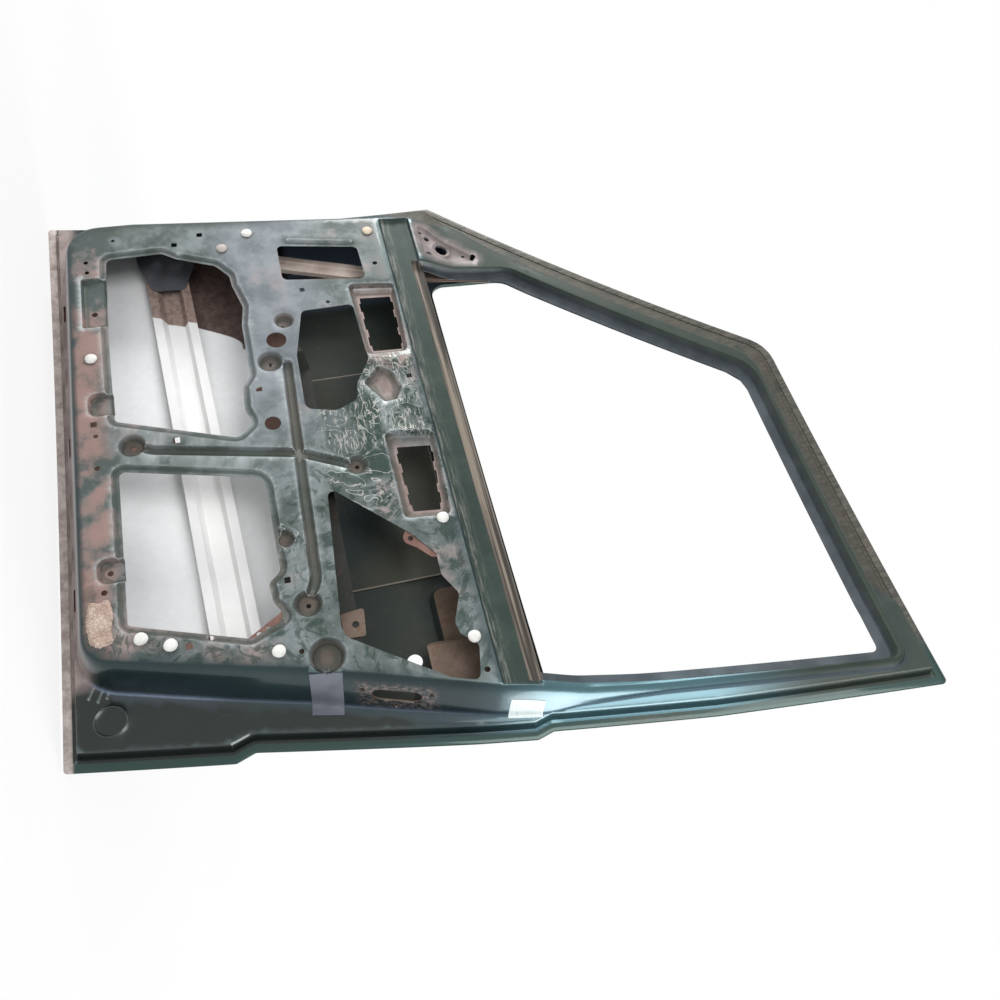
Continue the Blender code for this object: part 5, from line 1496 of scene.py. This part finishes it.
class DOOR_OT_trim_plugs(bpy.types.Operator):
    """Nine moulded trim plugs: a crowned head turned about its own axis, with a shank"""
    bl_idname = "door.trim_plugs"
    bl_label = "Trim plugs"

    def execute(self, context):
        sizes, colours = context.scene.door_sizes, context.scene.door_colours
        finishes = {name: material(name, plug_plastic(getattr(colours, name)))
                    for name in ("plug", *ODD_PLUGS.values())}
        radius, height = np.array(PLUG_PROFILE).T[..., None]
        turn = 2 * math.pi * np.arange(sizes.plug_sides) / sizes.plug_sides
        levels = panel_y(np.array(PLUG_PLACES, float), sizes.ridge_fillet, sizes.foot_fillet)
        rim = np.repeat(eased(height, *PLUG_RIM) * (radius > PLUG_HEAD), len(turn), axis=1)
        for number, ((x, z), level) in enumerate(zip(PLUG_PLACES, levels), 1):
            wobble = PLUG_WOBBLE * np.sin(3 * turn + number - 1) * (radius > PLUG_HEAD)
            reach = radius * (1.0 + wobble)
            points = np.stack(np.broadcast_arrays(x + reach * np.cos(turn), level - height,
                                                  z + reach * np.sin(turn)), axis=-1)
            faces = grid_faces(*points.shape[:2], wrap=True)[:, ::-1]
            plug = sheet_object(f"plug_{number}", points.reshape(-1, 3), faces,
                                [finishes[ODD_PLUGS.get(number, "plug")]],
                                marks={"rim": rim.ravel()})
            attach(plug, BODY)
            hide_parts(f"trim_plug_{number}")
        return {"FINISHED"}


class DOOR_OT_sealant(bpy.types.Operator):
    """Torn pad of cracked sealant: a lumpy sheet over a ragged outline. The raggedness and
    the lumps are products of two sines."""
    bl_idname = "door.sealant"
    bl_label = "Sealant pad"

    def execute(self, context):
        outline = rounded(SEALANT_OUTLINE, step=1.5)
        count = np.arange(len(outline))
        ragged = outline + outward(outline) * (SEALANT_RAGGED * np.sin(count * 1.7)
                                               * np.sin(count * 0.53))[:, None]
        loose = staggered(outline.min(0), outline.max(0), SEALANT_GRID)
        flat, triangles = cut_sheet(ragged, [], [], loose)
        x, z = flat.T
        depth = sink(signed_distance(ragged, flat), SEALANT_SLOPE)
        lumps = (np.sin(x * 0.9 + np.sin(z * 0.7) * 1.5)
                 * np.sin(z * 1.1 + np.sin(x * 0.5) * 2.0))
        height = SEALANT_FOOT + depth * (SEALANT_THICKNESS - SEALANT_LOW + SEALANT_LUMPS * lumps)
        vertices, faces = closed_sheet(at_level(flat, np.minimum(-height, -SEALANT_LEAST)),
                                       at_level(flat, -SEALANT_FOOT), triangles)
        pad = sheet_object("sealant_sheet", vertices, faces, [material("sealant", sealant)],
                           sharp=60.0)
        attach(pad, BODY)
        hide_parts("sealant_pad")
        return {"FINISHED"}


class DOOR_OT_guide_foot(bpy.types.Operator):
    """Foot of the front glass guide inside the door: a channel drawn along a straight line"""
    bl_idname = "door.guide_foot"
    bl_label = "Glass guide foot"

    def execute(self, context):
        low, high = (np.array(end, float) for end in GUIDE_FOOT_LINE)
        ahead = (high - low) / np.linalg.norm(high - low)
        across, depth = np.array(GUIDE_FOOT_SECTION).T
        line = low + (high - low) * np.linspace(0.0, 1.0, GUIDE_FOOT_ROWS)[:, None]
        points = np.stack(np.broadcast_arrays(line[:, :1] - ahead[1] * across,
                                              GUIDE_FOOT_LEVEL + depth,
                                              line[:, 1:] + ahead[0] * across), axis=-1)
        triangles = halved(grid_faces(*points.shape[:2]))[:, ::-1]
        vertices, faces = thicken(points.reshape(-1, 3), triangles, GUIDE_FOOT_THICKNESS)
        finish = material("guide_foot", primed_steel(*GUIDE_FOOT_PRIMER))
        foot = sheet_object("guide_foot", vertices, faces, [finish])
        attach(foot, BODY)
        return {"FINISHED"}


def film(name, corners, finish, sizes):
    """Thin film laid on the inner panel: a grid between four corners, each point a weighted
    mean of them, at the panel's level and lifted clear of its facets."""
    u, v = np.meshgrid(*(np.linspace(0, 1, count) for count in FILM_GRID))
    a, b, c, d = (np.array(corner, float) for corner in corners)
    spot = (a * ((1 - u) * (1 - v))[..., None] + b * (u * (1 - v))[..., None]
            + c * (u * v)[..., None] + d * ((1 - u) * v)[..., None])
    flat = spot.reshape(-1, 2)
    level = panel_y(flat, sizes.ridge_fillet, sizes.foot_fillet) - FILM_LIFT
    vertices, faces = closed_sheet(at_level(flat, level - FILM_THICKNESS), at_level(flat, level),
                                   halved(grid_faces(*u.shape)[:, ::-1]))
    made = sheet_object(name, vertices, faces, [finish])
    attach(made, BODY)


class DOOR_OT_films(bpy.types.Operator):
    """Strip of tape on the rear shut wall and a bare white plate above it"""
    bl_idname = "door.films"
    bl_label = "Tape and bare plate"

    def execute(self, context):
        sizes = context.scene.door_sizes
        film("tape_strip", TAPE, material("tape_film", tape_film), sizes)
        film("bare_plate", BARE_PLATE, material("bare_film", bare_film), sizes)
        return {"FINISHED"}


# Stage


def seen_by_eyes(wire):
    """1 on rays that show a background: from the camera, a gloss or a clear surface."""
    outputs = wire.node("ShaderNodeLightPath").socket.node.outputs
    return maximum(*(Wire(wire.tree, outputs[name])
                     for name in ("Is Camera Ray", "Is Glossy Ray", "Is Transmission Ray")))


def lamp(name, spot, size, power):
    """Square soft lamp at a place in metres, turned to the middle of the stage."""
    light = bpy.data.lights.new(name, "AREA")
    light.shape = "SQUARE"
    light.size = size
    light.energy = power
    built = linked(name, light)
    built.location = spot
    built.rotation_mode = "QUATERNION"
    built.rotation_quaternion = (Vector(STAGE_MIDDLE) - Vector(spot)).to_track_quat("-Z", "Y")


class DOOR_OT_stage(bpy.types.Operator):
    """Pale floor, plain soft lamps, white surroundings and the photograph's camera"""
    bl_idname = "door.stage"
    bl_label = "Stage"

    def execute(self, context):
        scene = context.scene
        low = CAD_BOX[0]
        ground = bpy.data.meshes.new("floor")
        ground.from_pydata([(x, y, low.z - FLOOR_GAP) for x, y in (
            (-FLOOR_EDGE, -FLOOR_EDGE), (FLOOR_EDGE, -FLOOR_EDGE), (FLOOR_EDGE, FLOOR_EDGE),
            (-FLOOR_EDGE, FLOOR_EDGE))], [], [(0, 1, 2, 3)])
        floor = linked("floor", ground)
        paint = bpy.data.materials.new("floor")
        wire = blank_tree(paint)
        seen = seen_by_eyes(wire)
        matt = wire.node("ShaderNodeBsdfDiffuse", None, {"Color": FLOOR_COLOUR})
        glow = wire.node("ShaderNodeEmission", None, {"Color": WHITE})
        away = wire.node("ShaderNodeVectorMath", {"operation": "LENGTH"}, {0: place(wire)},
                         "Value")
        fade = seen * (FLOOR_FADE + ramp(away, *FLOOR_FADE_REACH) * (1.0 - FLOOR_FADE))
        both = wire.node("ShaderNodeMixShader", None, {0: fade, 1: matt, 2: glow})
        wire.node("ShaderNodeOutputMaterial", None, {"Surface": both}, None)
        ground.materials.append(paint)

        world = bpy.data.worlds.new("studio")
        scene.world = world
        wire = blank_tree(world)
        room, white = (wire.node("ShaderNodeBackground", None,
                                 {"Color": colour, "Strength": power})
                       for colour, power in (ROOM_LIGHT, (WHITE, 1.0)))
        both = wire.node("ShaderNodeMixShader", None, {0: seen_by_eyes(wire), 1: room, 2: white})
        wire.node("ShaderNodeOutputWorld", None, {"Surface": both}, None)

        for name, (spot, size, power) in LAMPS.items():
            lamp(name, spot, size, power)

        camera = bpy.data.cameras.new("photograph")
        camera.lens = CAMERA_LENS
        camera.sensor_width = CAMERA_SENSOR
        camera.clip_start, camera.clip_end = CAMERA_REACH
        eye = linked("photograph", camera)
        right, down, ahead = (Vector(v) for v in (CAMERA_RIGHT, CAMERA_DOWN, CAMERA_AHEAD))
        turn = Matrix((right, -down, -ahead)).transposed().to_4x4()
        spot = (Vector(CAMERA_PLACE) - Vector(HINGE_CENTRE)) * MM
        eye.matrix_world = Matrix.Translation(spot) @ turn
        scene.camera = eye
        scene.view_settings.view_transform = "Standard"
        return {"FINISHED"}


class DOOR_PT_sidebar(bpy.types.Panel):
    """Lists the door's sizes, colours and pieces in the 3D view's sidebar"""
    bl_idname = "DOOR_PT_sidebar"
    bl_label = "Car door shell"
    bl_space_type = "VIEW_3D"
    bl_region_type = "UI"
    bl_category = "Door"

    def draw(self, context):
        for group in (context.scene.door_sizes, context.scene.door_colours):
            for name in group.bl_rna.properties.keys():
                if name not in ("rna_type", "name"):
                    self.layout.prop(group, name)
        for operator in OPERATORS:
            self.layout.operator(operator.bl_idname)


OPERATORS = (DOOR_OT_inner_panel, DOOR_OT_outer_skin, DOOR_OT_inside_parts, DOOR_OT_trim_plugs,
             DOOR_OT_sealant, DOOR_OT_guide_foot, DOOR_OT_films, DOOR_OT_stage)
CLASSES = (DoorSizes, DoorColours) + OPERATORS + (DOOR_PT_sidebar,)


def register():
    for each in CLASSES:
        bpy.utils.register_class(each)
    bpy.types.Scene.door_sizes = bpy.props.PointerProperty(type=DoorSizes)
    bpy.types.Scene.door_colours = bpy.props.PointerProperty(type=DoorColours)


def unregister():
    del bpy.types.Scene.door_colours
    del bpy.types.Scene.door_sizes
    for each in reversed(CLASSES):
        bpy.utils.unregister_class(each)


def main():
    register()
    for operator in OPERATORS:
        group, name = operator.bl_idname.split(".")
        getattr(getattr(bpy.ops, group), name)()


if __name__ == "__main__":
    main()
